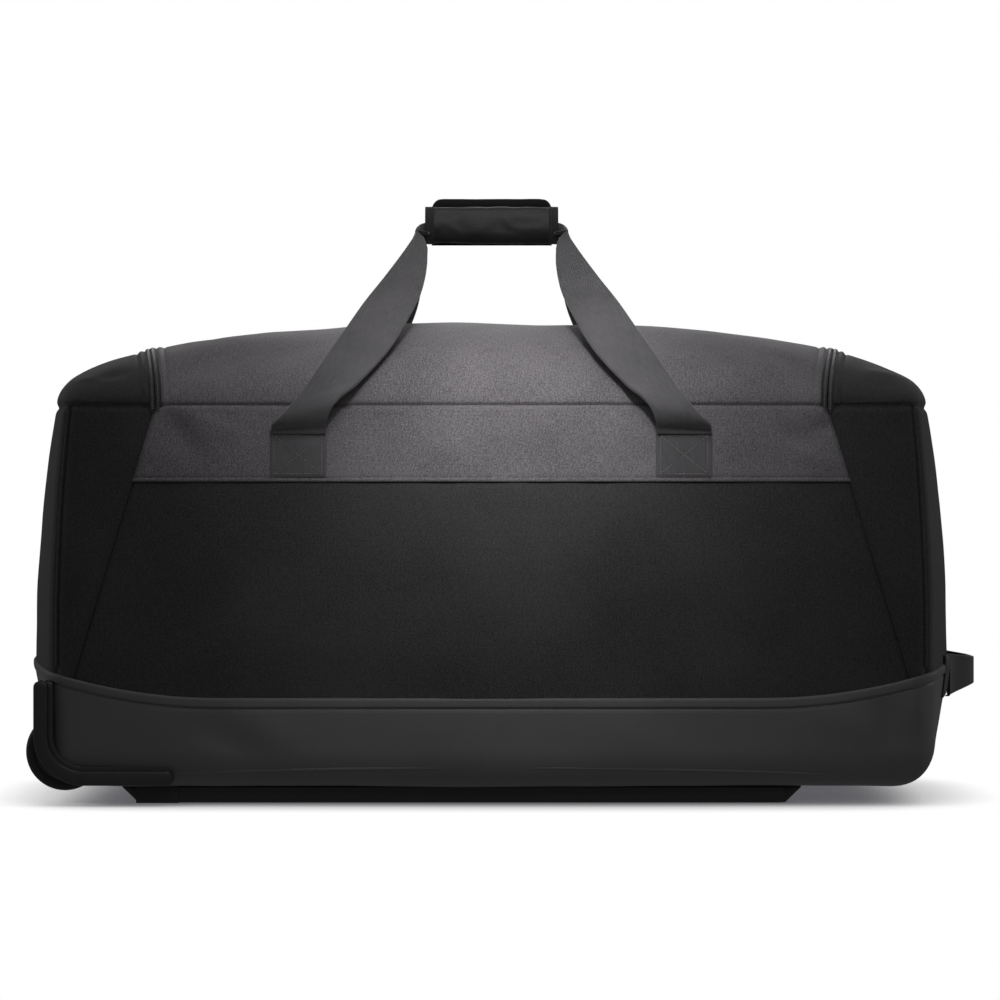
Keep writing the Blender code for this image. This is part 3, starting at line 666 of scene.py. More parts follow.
def long_panel(side, word, level):
    upper = level == "upper"
    top = SEAM_Z if side < 0 or not upper else SEAM_Z - 2 * ZIP_SPACE
    high = top if upper else LAP_Z - 0.001
    v = shares(high - (LAP_Z if upper else WRAP_Z))[:, None]
    u = 2.0 * shares(2 * 0.35)[None, :] - 1.0
    low = LAP_Z - 0.0022 if upper else wrap_edge_z(u * GUSSET_LOW[0]) - 0.003
    z = mix(low, high, v) + 0.0 * u
    x = u * (gusset_x(z, side) + 0.0002)
    points = np.stack([MIDDLE_X + x, side * side_y(x, z), z], axis=-1)
    ends = edge_fall(points, ("left", "right"))
    bump = wall_bump(points, 3.0 + side) * np.clip(ends / 0.05, 0.2, 1.0)
    bump += tuck(ends, 0.0034, 0.0026)
    if upper:
        lip = edge_fall(points, ("low",))
        cord = np.sqrt(np.clip(1.0 - ((lip - 0.0017) / 0.0018) ** 2, 0.0, 1.0))
        bump += 0.0010 + 0.0014 * cord - 0.0008 * ridge(lip, 0.0042, 0.0008)
        bump += tuck(edge_fall(points, ("high",)), 0.0024, 0.0018)
        add_folds(bump, points * (1, 0, 1), SIDE_CREASES)
    else:
        bump -= 0.0020 * np.exp(-edge_fall(points, ("high",)) / 0.005)
        hang = points[..., 2] - LAP_Z
        pull = np.sin(points[..., 0] * 95.0 + 3.0 * np.sin(points[..., 0] * 17.0))
        bump += 0.0005 * pull * np.exp(hang / 0.030)
        add_folds(bump, points * (1, 0, 1), LOW_CREASES)
    name = f"{word}_{level}_cloth"
    # The upper panels take the lighter copy of the black cloth as painted top light.
    obj = cloth(name, points, bump, TOP_LIT_CLOTH if upper else BLACK, LINING)
    return place(obj, "bag_body", "polyester", f"{word}_{level}_panel")


# soft folds: start, stop, width, depth; a line on the long sides is (x, 0, z)
SIDE_CREASES = (
    ((-0.322, 0, 0.368), (-0.268, 0, 0.318), 0.007, -0.0024),
    ((-0.305, 0, 0.365), (-0.235, 0, 0.335), 0.007, 0.0022),
    ((0.322, 0, 0.365), (0.262, 0, 0.330), 0.007, -0.0022),
    ((0.100, 0, 0.305), (0.160, 0, 0.335), 0.010, -0.0018),
    ((-0.312, 0, 0.362), (-0.280, 0, 0.312), 0.011, -0.0038),
    ((-0.296, 0, 0.350), (-0.262, 0, 0.318), 0.014, 0.0030),
    ((0.300, 0, 0.322), (0.240, 0, 0.350), 0.010, -0.0029),
    ((0.306, 0, 0.310), (0.262, 0, 0.332), 0.008, 0.0027),
    ((0.302, 0, 0.352), (0.272, 0, 0.346), 0.006, -0.0023),
    ((-0.09, 0, 0.355), (-0.03, 0, 0.308), 0.022, 0.0027),
    ((0.06, 0, 0.352), (0.12, 0, 0.312), 0.024, 0.0025),
    ((-0.02, 0, 0.310), (0.05, 0, 0.336), 0.018, -0.0023),
)
LOW_CREASES = (
    ((-0.32, 0, 0.285), (-0.10, 0, 0.200), 0.040, 0.0021),
    ((0.32, 0, 0.280), (0.12, 0, 0.190), 0.045, 0.0021),
    ((-0.25, 0, 0.150), (0.05, 0, 0.125), 0.030, 0.0018),
    ((-0.33, 0, 0.130), (-0.20, 0, 0.240), 0.020, -0.0015),
)
WRAP_CREASES = (
    ((-0.300, -0.19, 0.085), (-0.220, -0.19, 0.045), 0.014, -0.0026),
    ((-0.260, -0.19, 0.090), (-0.180, -0.19, 0.050), 0.018, 0.0026),
    ((0.270, -0.19, 0.095), (0.360, -0.19, 0.060), 0.016, 0.0022),
    ((0.345, -0.19, 0.105), (0.352, -0.19, 0.050), 0.010, -0.0032),
    ((0.372, -0.19, 0.115), (0.378, -0.19, 0.070), 0.008, 0.0026),
    ((0.060, -0.19, 0.088), (0.160, -0.19, 0.045), 0.026, 0.0019),
)
CAP_CREASES = (
    ((-0.395, -0.165, 0.378), (-0.345, -0.155, 0.398), 0.010, -0.0031),
    ((-0.400, -0.150, 0.392), (-0.352, -0.172, 0.384), 0.007, 0.0021),
    ((0.372, -0.165, 0.376), (0.318, -0.168, 0.386), 0.008, -0.0029),
    ((0.378, -0.140, 0.392), (0.330, -0.150, 0.402), 0.011, 0.0023),
)
LID_CREASES = (
    ((-0.318, -0.176, 0.385), (-0.250, -0.130, 0.420), 0.009, -0.0030),
    ((-0.300, -0.178, 0.384), (-0.200, -0.150, 0.405), 0.010, 0.0028),
    ((-0.250, -0.178, 0.383), (-0.150, -0.120, 0.425), 0.012, -0.0028),
    ((0.300, -0.176, 0.385), (0.240, -0.130, 0.420), 0.009, -0.0028),
    ((0.240, -0.178, 0.384), (0.150, -0.150, 0.410), 0.011, 0.0024),
    ((-0.310, -0.176, 0.385), (-0.170, -0.120, 0.425), 0.026, -0.0045),
    ((-0.320, -0.150, 0.402), (-0.230, -0.060, 0.436), 0.022, 0.0033),
    ((-0.110, -0.178, 0.382), (-0.030, -0.140, 0.420), 0.020, 0.0030),
    ((0.020, -0.172, 0.392), (0.130, -0.150, 0.414), 0.024, -0.0027),
    ((0.150, -0.178, 0.384), (0.290, -0.150, 0.402), 0.024, 0.0033),
    ((0.200, -0.120, 0.425), (0.290, -0.178, 0.384), 0.016, -0.0027),
)


def end_strip(end, name, start, stop, material, node, seed):
    """One end panel or gusset between two zones of the outline; a zone below 0 is on the near side."""
    z_step = shares(0.24)
    zone_low, zone_high = start(BELLY_Z), stop(BELLY_Z)
    length = 0.35 if zone_low < 0.0 < zone_high else 0.09
    u = shares(length, 0.004)[None, :]
    zone = mix(zone_low, zone_high, u)
    reference_x = section(np.abs(zone), BELLY_Z)[0]
    z = mix(wrap_edge_z(reference_x) - 0.003, SEAM_Z, z_step[:, None])
    zone = mix(start(z), stop(z), u)
    x, y = section(np.abs(zone), z)
    points = np.stack([MIDDLE_X + end * x, np.sign(zone + 1e-12) * y, z], axis=-1)
    bump = wall_bump(points, seed) * np.clip(edge_fall(points) / 0.03, 0.15, 1.0)
    bump += tuck(edge_fall(points, ("left", "right")), 0.0018) + tuck(edge_fall(points, ("high",)), 0.0022)
    obj = cloth(name, points, bump, material, LINING)
    return place(obj, "bag_body", "polyester", node)


PIPING_ZONE = 1.5


def gusset_zone(z, side):
    run = corner_x(z) - CORNER_RADIUS
    return 3.0 - gusset_x(z, side) / run


def build_walls():
    for side, word in ((-1, "near"), (1, "far")):
        for level in ("main", "upper"):
            long_panel(side, word, level)
    for end, word in ((-1, "left"), (1, "right")):
        flat = np.vectorize(lambda z: PIPING_ZONE)
        end_strip(end, word + "_end_cloth", lambda z: -flat(z), flat, BLACK, word + "_end_panel", 11.0 + end)
        end_strip(
            end, word + "_far_gusset_cloth", flat, lambda z: gusset_zone(z, 1),
            BLACK, word + "_far_gusset", 21.0 + end,
        )
        end_strip(
            end, word + "_near_gusset_cloth", lambda z: -gusset_zone(z, -1), lambda z: -flat(z),
            BLACK, word + "_near_gusset", 31.0 + end,
        )


def build_piping():
    """Corded piping down the four vertical corners and round the bottom."""
    for end, end_word in ((-1, "left"), (1, "right")):
        for side, word in ((-1, "near"), (1, "far")):
            z = np.linspace(0.128, SEAM_Z - 0.002, 60)
            x, y = section(PIPING_ZONE, z)
            route = np.stack([MIDDLE_X + end * x, side * y, z], axis=-1)
            out = np.array([end * 0.7, side * 0.7, 0.0])
            name = f"{word}_{end_word}_piping"
            obj = sweep(name, route - out * 0.0004, out, ring(8), 0.0030, 0.0030, BLACK)
            place(obj, "bag_body", "polyester")
    half = np.concatenate([np.linspace(3, 2, 70), np.linspace(2, 1, 14)[1:], np.linspace(1, 0, 20)[1:]])
    left = np.linspace(2.14, 3, 60)[:-1]
    side_x = np.concatenate([-section(left, 0.034)[0], section(half, 0.034)[0]])
    height = 0.0362 - 0.0085 * (side_x / 0.36) ** 2
    x, y = section(np.concatenate([left, half]), height, bottom_inset(height))
    x[:len(left)] *= -1.0
    near = np.stack([MIDDLE_X + x, -y, height], axis=-1)
    route = np.concatenate([near, (near * (1, -1, 1))[::-1][1:]])
    obj = sweep("bottom_piping", route, np.array([0.0, 0.0, -1.0]), ring(8), 0.0036, 0.0036, COATED)
    place(obj, "bag_body", "coated_fabric")


def build_caps():
    for end, word in ((-1, "left"), (1, "right")):
        reach = gusset_zone(SEAM_Z, -1) - ZIP_SPACE / CORNER_X[0]
        sweep_share = shares(0.5, 0.006)[None, :]
        zone = mix(-reach, reach, sweep_share)
        outer_x, outer_y = section(np.abs(zone), SEAM_Z)
        outer_y = np.sign(zone) * outer_y
        inner_y = HALF_DEPTH[0] * np.sin(math.pi * (sweep_share - 0.5))
        inner_x = zip_x(inner_y) + ZIP_SPACE
        v = shares(0.10, 0.005)[:, None]
        ease = 1.0 - np.cos(v * math.pi / 2)
        x = mix(outer_x, inner_x, ease)
        y = mix(outer_y, inner_y, ease)
        z = top_z(x, y)
        z[0] = SEAM_Z
        points = np.stack([MIDDLE_X + end * x, y, z], axis=-1)
        points[0, :, 2] = SEAM_Z - 0.0006
        heart = np.array([MIDDLE_X + end * 0.30, 0.0, 0.30])
        zip_side = edge_fall(points, ("high",))
        bump = wall_bump(points, 41.0 + end, 0.0022) * np.clip(edge_fall(points) / 0.03, 0.1, 1.0)
        bump += tuck(edge_fall(points, ("low",)), 0.0022)
        bump += 0.0016 * ridge(zip_side, 0.0028, 0.0022) - 0.0010 * ridge(zip_side, 0.0068, 0.0012)
        add_folds(bump, points, CAP_CREASES)
        obj = cloth(word + "_top_cloth", points, bump, BLACK, LINING, heart=heart)
        place(obj, "bag_body", "polyester", word + "_top_cap")


def bottom_inset(z):
    """How far the wall has curved in under the bag at height z."""
    drop = np.clip((FLOOR_Z + BOTTOM_RADIUS - z) / BOTTOM_RADIUS, 0.0, 1.0)
    return BOTTOM_RADIUS * (1.0 - np.sqrt(1.0 - drop ** 2))


# rows of the wrap's grid below its upper edge, close together where the hem's band is
HEM_STEPS = (
    0.0, 0.0007, 0.0015, 0.0025, 0.0040, 0.0058, 0.0074, 0.0084, 0.0090, 0.0096, 0.0102, 0.0112, 0.0130,
)
WRAP_RUN = 0.0560


def build_wrap():
    quarter = np.concatenate([np.linspace(0, 1, 20)[:-1], np.linspace(1, 2, 10)[:-1], np.linspace(2, 3, 62)])
    reference_x = section(quarter, WRAP_Z)[0]
    edge = wrap_edge_z(reference_x)
    wall = np.concatenate([HEM_STEPS, np.linspace(0.0165, WRAP_RUN, 9)])[:, None] / WRAP_RUN
    heights = mix(edge[None, :], FLOOR_Z + BOTTOM_RADIUS, wall)
    angles = np.radians(np.linspace(7.5, 90.0, 12))[:, None]
    arc = FLOOR_Z + BOTTOM_RADIUS * (1.0 - np.sin(angles)) + 0.0 * edge[None, :]
    inset = np.concatenate([0.0 * heights, BOTTOM_RADIUS * (1.0 - np.cos(angles)) + 0.0 * edge[None, :]])
    z = np.concatenate([heights, arc])
    x, y = section(quarter[None, :], z, inset)
    floor_rows = []
    for share in (0.75, 0.5, 0.25, 0.0):
        floor_rows.append(np.stack([x[-1], y[-1] * share, z[-1]], axis=-1))
    grid = np.concatenate([np.stack([x, y, z], axis=-1), np.stack(floor_rows)])
    quarters = [
        grid,
        (grid * (-1, 1, 1))[:, ::-1][:, 1:],
        (grid * (-1, -1, 1))[:, 1:],
        (grid * (1, -1, 1))[:, ::-1][:, 1:],
    ]
    ring_grid = np.concatenate(quarters, axis=1) + (MIDDLE_X, 0, 0)
    down = edge_fall(ring_grid, ("low",))
    bump = 0.0012 + wall_bump(ring_grid, 51.0, 0.0014) * np.clip(down / 0.02, 0.1, 1.0)
    band = 0.0012 / (1.0 + np.exp((down - 0.0088) / 0.0004)) - 0.0012 * ridge(down, 0.0098, 0.0010)
    bump += band + tuck(down, 0.0018, 0.0010)
    add_folds(bump, ring_grid, WRAP_CREASES)
    bump[-4:] = 0.0
    obj = cloth("bottom_wrap_cloth", ring_grid, bump, COATED, LINING)
    bm = bmesh.new()
    bm.from_mesh(obj.data)
    bmesh.ops.remove_doubles(bm, verts=bm.verts, dist=0.00004)
    bmesh.ops.dissolve_degenerate(bm, edges=bm.edges, dist=0.00002)
    bm.to_mesh(obj.data)
    bm.free()
    for side in (-1, 1):
        cut_well(obj, side)
    return place(obj, "bag_body", "coated_fabric", "bottom_wrap")


WHEEL_LOW, WHEEL_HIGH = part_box("near_tyre")
WHEEL_CENTRE = (WHEEL_LOW + WHEEL_HIGH) / 2
WHEEL_RADIUS = (WHEEL_HIGH.z - WHEEL_LOW.z) / 2
WHEEL_WIDTH = WHEEL_HIGH.y - WHEEL_LOW.y
WELL_RADIUS = 0.0425
GROOVE_Y = 0.0045                # the tread's grooves, from the wheel's middle plane


def cut_well(obj, side):
    bm = bmesh.new()
    bmesh.ops.create_cone(bm, cap_ends=True, segments=64, radius1=1.0, radius2=1.0, depth=1.0)
    for vertex in bm.verts:
        across, up, along = vertex.co
        vertex.co = (
            WHEEL_CENTRE.x + across * (WELL_RADIUS + 0.0004),
            side * abs(WHEEL_CENTRE.y) - along * (WHEEL_WIDTH + 0.0116),
            WHEEL_CENTRE.z + up * (WELL_RADIUS + 0.0004),
        )
    cutter = object_from_bmesh("well_cutter", bm)
    modifier = obj.modifiers.new("well", "BOOLEAN")
    modifier.operation = "DIFFERENCE"
    modifier.solver = "EXACT"
    modifier.object = cutter
    bpy.context.view_layer.update()
    shape = bpy.data.meshes.new_from_object(obj.evaluated_get(bpy.context.evaluated_depsgraph_get()))
    obj.modifiers.clear()
    obj.data = shape
    bpy.data.objects.remove(cutter, do_unlink=True)


# ---- lid and zip -----------------------------------------------------------------------------
def build_lid():
    v = np.sin(math.pi * (shares(0.45, 0.005)[:, None] - 0.5))
    y = HALF_DEPTH[0] * v
    u = 2.0 * shares(0.64, 0.005)[None, :] - 1.0
    x = (zip_x(y) - ZIP_SPACE) * u
    y = y + 0.0 * x
    z = top_z(x, y)
    z[0], z[-1] = SEAM_Z, SEAM_Z + 0.0005
    points = np.stack([MIDDLE_X + x, y, z], axis=-1)
    ends = edge_fall(points, ("left", "right"))
    bump = wall_bump(points, 61.0, 0.0036) * np.clip(edge_fall(points) / 0.04, 0.1, 1.0)
    bump += tuck(edge_fall(points, ("low",)), 0.0022, 0.0018) + tuck(edge_fall(points, ("high",)), 0.0014)
    bump += 0.0015 * ridge(ends, 0.0030, 0.0024) - 0.0010 * ridge(ends, 0.0074, 0.0013)
    add_folds(bump, points, LID_CREASES)
    # The lid takes the lighter copy of the black cloth as painted top light.
    obj = cloth("lid_cloth", points, bump, TOP_LIT_CLOTH, LINING)
    return place(obj, "lid", "polyester", "lid_panel")


def zip_route(offset):
    """Middle line of the zip moved outwards by offset, from the near left end round to the near right."""
    angle = np.linspace(-math.pi / 2, math.pi / 2, 90)
    y = HALF_DEPTH[0] * np.sin(angle)
    x = zip_x(y) + offset
    end_run = np.stack([x, y, top_z(x, y)], axis=-1)
    corner = [(ZIP_X[0] + offset, HALF_DEPTH[0], SEAM_Z - 0.004 - offset)]
    far_x = np.linspace(ZIP_X[0] - 0.006 + offset, 0.0, 60)
    far_z = SEAM_Z - 0.0054 - offset
    far_run = np.stack([far_x, np.full(60, HALF_DEPTH[0]), np.full(60, far_z)], axis=-1)
    half = np.concatenate([end_run, corner, far_run])
    tail_x, tail_y = ZIP_X[0] + offset, -HALF_DEPTH[0] + 0.0012
    tail = np.array([(tail_x, tail_y, SEAM_Z - drop) for drop in (0.009, 0.006, 0.003)])
    half = np.concatenate([tail, half])
    mirrored = (half * (-1, 1, 1))[::-1][1:]
    route = np.concatenate([half, mirrored]) + (MIDDLE_X, 0, 0)
    along = arc_lengths(route, 0)
    route = at_lengths(np.linspace(0.0, along[-1], 700), along, route)
    kernel = np.ones(7) / 7
    padded = np.concatenate([route[:1].repeat(3, 0), route, route[-1:].repeat(3, 0)])
    return np.stack([np.convolve(padded[:, k], kernel, "valid") for k in range(3)], axis=-1)


def build_zip():
    inner_line, outer_line = zip_route(-0.004), zip_route(0.004)
    across = unit(outer_line - inner_line)
    middle = zip_route(0.0)
    tangent = np.gradient(middle, axis=0)
    facing = unit(np.cross(tangent, across))
    away = middle - np.array([MIDDLE_X, 0.0, 0.2])
    facing *= np.sign(np.sum(facing * away, axis=1, keepdims=True))
    for side, word, body in ((-1, "lid", "lid"), (1, "body", "bag_body")):
        strip = middle + across * side * 0.0034
        tape = sweep(word + "_zip_tape", strip, facing, flat_ring(0.2, 2), 0.0062, 0.0012, TAPE)
        place(tape, body, "zip_teeth", word + "_zip_half")
        pitch = 0.0019
        along = arc_lengths(middle, 0)
        even = np.arange(0.003 + (side + 1) * pitch / 4, along[-1] - 0.003, pitch)
        centre = at_lengths(even, along, middle)
        sideways = unit(at_lengths(even, along, across))
        normal = at_lengths(even, along, facing)
        normal = unit(normal - sideways * np.sum(normal * sideways, axis=1, keepdims=True))
        centre = centre + sideways * side * 0.0024 + normal * 0.0014
        # The teeth and the cord beads carry the light coil colour as painted highlight.
        teeth = beads(word + "_zip_teeth", centre, sideways, normal, 0.0042, 0.0012, 0.0020, ZIP_COIL_PAINTED_HIGHLIGHT)
        place(teeth, body, "zip_teeth")
        cord = middle + across * side * 0.0026 + facing * 0.0022
        row = stitch_row(cord, np.array([0.0, 0.3, 1.0]), 0.0016)
        row = beads(word + "_zip_cord", *row, 0.0014, 0.0010, 0.0010, ZIP_COIL_PAINTED_HIGHLIGHT)
        place(row, body, "zip_teeth")


def rounded_box(name, low, high, radius, material, segments=3):
    bm = bmesh.new()
    bmesh.ops.create_cube(bm, size=1.0)
    for vertex in bm.verts:
        for axis in range(3):
            vertex.co[axis] = low[axis] if vertex.co[axis] < 0.0 else high[axis]
    bmesh.ops.bevel(bm, geom=bm.edges[:], offset=radius, segments=segments, profile=0.5, affect="EDGES")
    obj = object_from_bmesh(name, bm, material)
    obj.data.shade_smooth()
    return obj


def join(first, *others):
    bpy.ops.object.select_all(action="DESELECT")
    for obj in (first, *others):
        obj.select_set(True)
    bpy.context.view_layer.objects.active = first
    bpy.ops.object.join()
    return first


def build_sliders():
    for word in ("left", "right"):
        low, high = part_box(word + "_zip_slider")
        plate = rounded_box(word + "_slider_shell", low, (high.x, high.y - 0.0010, high.z), 0.0010, ZIP_METAL)
        middle = (low.x + high.x) / 2
        bridge = rounded_box(
            word + "_slider_bridge", (middle - 0.0018, high.y - 0.0022, low.z + 0.002),
            (middle + 0.0018, high.y, high.z - 0.002), 0.0008, ZIP_METAL,
        )
        place(join(plate, bridge), word + "_slider", "zip_metal", word + "_zip_slider")
        low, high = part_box(word + "_zip_puller")
        middle_y = (low.y + high.y) / 2
        hanger = rounded_box(
            word + "_puller_plate", (low.x + 0.0010, low.y, high.z - 0.012),
            (high.x - 0.0010, high.y, high.z), 0.0005, ZIP_METAL,
        )
        tab = rounded_box(
            word + "_puller_grip", (low.x, low.y, low.z), (high.x, high.y, high.z - 0.010), 0.0007, PLASTIC,
        )
        ribs = [
            rounded_box(
                f"{word}_puller_rib_{k}", (low.x + 0.0012, middle_y + 0.0002, low.z + 0.003 + 0.003 * k),
                (high.x - 0.0012, high.y + 0.0004, low.z + 0.0044 + 0.003 * k), 0.0003, PLASTIC, 2,
            )
            for k in range(5)
        ]
        place(join(hanger, tab, *ribs), word + "_puller", "zip_metal", word + "_zip_puller")


# ---- carry handles -----------------------------------------------------------------------------
# one leg of a carry handle, from its sewn end up to the grip, as the two edges of the webbing:
# outer edge x, distance from the middle plane, z, then the inner edge; x from the body's middle
LEG = (
    (0.2015, 0.1915, 0.3420, 0.1515, 0.1915, 0.3420),
    (0.2012, 0.1935, 0.3465, 0.1512, 0.1945, 0.3475),
    (0.2000, 0.2010, 0.3490, 0.1495, 0.2060, 0.3540),
    (0.1950, 0.2075, 0.3540, 0.1440, 0.2125, 0.3660),
    (0.1840, 0.2090, 0.3660, 0.1340, 0.2105, 0.3780),
    (0.1690, 0.2040, 0.3850, 0.1215, 0.2010, 0.3880),
    (0.1515, 0.1930, 0.4120, 0.1045, 0.1880, 0.4060),
    (0.1350, 0.1760, 0.4370, 0.0900, 0.1700, 0.4250),
    (0.1180, 0.1500, 0.4640, 0.0765, 0.1450, 0.4500),
    (0.1010, 0.1120, 0.4890, 0.0655, 0.1080, 0.4760),
    (0.0865, 0.0720, 0.5120, 0.0610, 0.0700, 0.5030),
    (0.0755, 0.0400, 0.5310, 0.0620, 0.0400, 0.5230),
    (0.0680, 0.0180, 0.5460, 0.0655, 0.0200, 0.5330),
    (0.0560, 0.0120, 0.5480, 0.0560, 0.0150, 0.5350),
)
FAR_OUT = 0.0075         # the far handle stands this much further out at mid height
STRAP_THICK = 0.0021
# where the webbing is folded narrow and goes into the grip
STRAP_FOLD = (
    (0.0500, 0.0130, 0.5400), (0.0600, 0.0140, 0.5400), (0.0655, 0.0190, 0.5390), (0.0670, 0.0290, 0.5370),
)


def ribbon(name, first, second, thickness, material, heart, columns=9):
    """Webbing between two edge lines, a closed body with rounded edges."""
    u = np.concatenate([[0.0, 0.012], np.linspace(0.03, 0.97, columns), [0.988, 1.0]])
    points = first[:, None, :] + (second - first)[:, None, :] * u[None, :, None]
    soft = np.array([-0.55, -0.2] + [0.0] * columns + [-0.2, -0.55]) * thickness
    normals = face_out(points, heart)
    middle = points + normals * (thickness / 2)
    bump = np.broadcast_to(soft, points.shape[:2])
    return cloth(name, middle, bump, material, material, thickness=thickness, heart=heart)


def build_straps():
    for side, word in ((-1, "near"), (1, "far")):
        for end, end_word in ((-1, "left"), (1, "right")):
            fine = curve_through(LEG, 0.0032)
            rising = np.clip((fine[:, 2] - 0.36) / 0.10, 0.0, 1.0)
            height = rising * np.clip((0.535 - fine[:, 2]) / 0.04, 0.0, 1.0)
            push = (FAR_OUT if side > 0 else 0.0) * height
            first, second = (
                np.stack([MIDDLE_X + end * (fine[:, k] + push), side * fine[:, k + 1], fine[:, k + 2]], axis=-1)
                for k in (0, 3)
            )
            heart = np.array([MIDDLE_X, 0.0, 0.30])
            obj = ribbon(f"{word}_{end_word}_strap_webbing", first, second, STRAP_THICK, WEBBING, heart)
            place(obj, None, "webbing", *([word + "_strap"] if end < 0 else []))
            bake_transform(obj)
            fold_line = curve_through([(MIDDLE_X + end * x, side * y, z) for x, y, z in STRAP_FOLD], 0.0025)
            fold_width = np.linspace(0.019, 0.013, len(fold_line))
            # The folded-under half is the strap's own grey webbing, drawn in the dark webbing colour as painted
            # shade.
            neck = sweep(
                f"{word}_{end_word}_strap_fold", fold_line, np.array([0.0, side * 1.0, 0.3]),
                flat_ring(0.12, 4), fold_width, 0.0034, DARK_WEBBING_AND_FOLD_SHADE,
            )
            place(neck, word + "_handle", "webbing")


def oval(angles, half_y, half_z):
    """Points of a slightly squared oval."""
    c, s = np.cos(angles), np.sin(angles)
    return half_y * np.sign(c) * np.abs(c) ** 0.85, half_z * np.sign(s) * np.abs(s) ** 0.85


def padded_roll(x_low, x_high, half_y, half_z, seed, swell, slots=28):
    """An oval padded tube along X, a little fuller between its bound ends."""
    stations = np.linspace(x_low, x_high, 64)
    angles = np.linspace(0.0, 2 * math.pi, slots * 2, endpoint=False)
    rows = []
    for x in stations:
        share = (x - x_low) / (x_high - x_low)
        full = 1.0 - swell * abs(2.0 * share - 1.0) ** 6
        y, z = oval(angles, half_y * full, half_z * full)
        rows.append(np.stack([np.full_like(y, x), y, z], axis=-1))
    points = np.stack(rows)
    folds = cloth_noise(points, (0.030, 0.011, 0.011), seed)
    folds = folds + 0.5 * cloth_noise(points, (0.010, 0.007, 0.007), seed)
    return points + unit(points * (0, 1, 1)) * (0.0011 * folds)[..., None]


def build_grip():
    """The near handle's sleeve: padded cloth, a bound and stitched band at each end."""
    low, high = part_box("grip_sleeve")
    centre = (low + high) / 2
    half_y, half_z = (high.y - low.y) / 2, (high.z - low.z) / 2
    points = padded_roll(low.x - 0.003, high.x + 0.003, half_y, half_z, 71.0, 0.03)
    rows, sides = points.shape[:2]
    points = points + np.array([0.0, centre.y, centre.z])
    around = np.broadcast_to(np.linspace(0, 0.1, sides), (rows, sides))
    uvs = np.stack([points[..., 0], around], axis=-1).reshape(-1, 2)
    faces = tube_faces(rows, sides)
    roll = new_object("grip_roll", points.reshape(-1, 3), faces, uvs, [SATIN], sharp_degrees=60)
    fix_normals(roll)
    place(roll, "near_handle", "polyester", "grip_sleeve")
    seam = np.array([
        (x, centre.y - half_y * 0.55, centre.z - half_z * 0.80) for x in np.linspace(low.x, high.x, 40)
    ])
    rows_of_thread = [stitch_row(seam, np.array([0.0, -0.5, -0.8]), 0.0030)]
    for word in ("left", "right"):
        low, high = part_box(word + "_grip_binding")
        angle = np.linspace(0.0, 2 * math.pi, 60, endpoint=False)
        x_middle = (low.x + high.x) / 2
        y, z = oval(angle, half_y + 0.0008 - 0.0007, half_z + 0.0004 - 0.0007)
        loop = np.stack([np.full(60, x_middle), centre.y + y, centre.z + z], axis=-1)
        out = loop - np.array([x_middle, centre.y, centre.z])
        band = sweep(
            word + "_grip_band", loop, out, flat_ring(0.18, 3), high.x - low.x, 0.0017, DARK_WEBBING_AND_FOLD_SHADE,
            closed=True,
        )
        place(band, "near_handle", "webbing", word + "_grip_binding")
        inner_x = x_middle + (0.0024 if word == "left" else -0.0024)
        line = loop * (0, 1, 1) + np.array([inner_x, 0, 0]) + unit(out) * 0.0009
        closed_line = np.concatenate([line, line[:1]])
        rows_of_thread.append(stitch_row(
            closed_line, lambda dense: dense * (0, 1, 1) - np.array([0.0, centre.y, centre.z]), 0.0030,
        ))
    stitches("grip_stitches", rows_of_thread, "near_handle", DARK_THREAD)


FRONT_ROWS = 26
BACK_ROWS = 20


def build_flap():
    """The far handle's wrap: a padded flap folded over the far webbing, with rounded top corners."""
    low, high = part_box("grip_flap")
    top = high.z
    front_y = (low.y + high.y) / 2
    back_y = 0.0150
    radius = (back_y - front_y) / 2
    bend_z = top - radius - 0.0015
    front_z = np.linspace(low.z, bend_z, FRONT_ROWS)
    turn = np.linspace(0.0, math.pi, 15)[1:-1]
    route_y = np.concatenate([
        np.full(FRONT_ROWS, front_y), (front_y + back_y) / 2 - radius * np.cos(turn),
        np.full(BACK_ROWS, back_y),
    ])
    route_z = np.concatenate([
        front_z, bend_z + radius * np.sin(turn), np.linspace(bend_z, low.z + 0.004, BACK_ROWS),
    ])
    middle_x = (low.x + high.x) / 2
    corner = 0.012
    above = np.clip((route_z - (top - corner)) / corner, 0.0, 1.0)
    half = (high.x - low.x) / 2 - corner * (1.0 - np.sqrt(1.0 - above ** 2 * 0.98))
    u = 2.0 * shares(0.116, 0.004)[None, :] - 1.0
    points = np.stack([
        middle_x + u * half[:, None], route_y[:, None] + 0.0 * u, route_z[:, None] + 0.0 * u,
    ], axis=-1)
    bump = 0.0010 * np.clip(edge_fall(points, ("left", "right")) / 0.006, 0.0, 1.0) ** 0.5
    bump += 0.0004 * cloth_noise(points, (0.02, 0.01, 0.01), 81.0)
    heart = np.array([middle_x, (front_y + back_y) / 2, low.z + 0.01])
    obj = cloth("grip_flap_cloth", points, bump, FLAP_CLOTH, LINING, thickness=0.0012, heart=heart)
    place(obj, "far_handle", "polyester", "grip_flap")
    rows = [
        stitch_row(points[:FRONT_ROWS, column] + (0.0, -0.0011, 0.0), np.array([0.0, -1.0, 0.0]), 0.0032)
        for column in (4, -5)
    ]
    stitches("flap_stitches", rows, "far_handle", DARK_THREAD)
    core = np.stack([
        np.linspace(MIDDLE_X - 0.060, MIDDLE_X + 0.060, 30), np.full(30, 0.0097), np.full(30, 0.545),
    ], axis=-1)
    facing = np.array([0.0, 1.0, 0.0])
    fold = sweep("far_grip_webbing", core, facing, flat_ring(0.12, 3), 0.026, 0.0042, WEBBING)
    place(fold, "far_handle", "webbing")


def box_and_cross(left, right, low, high):
    """The sides and diagonals of a box-stitched patch, each as a pair of corners."""
    corners = [(left, high), (right, high), (right, low), (left, low)]
    sides = [(corners[k], corners[(k + 1) % 4]) for k in range(4)]
    return sides + [(corners[0], corners[2]), (corners[1], corners[3])]


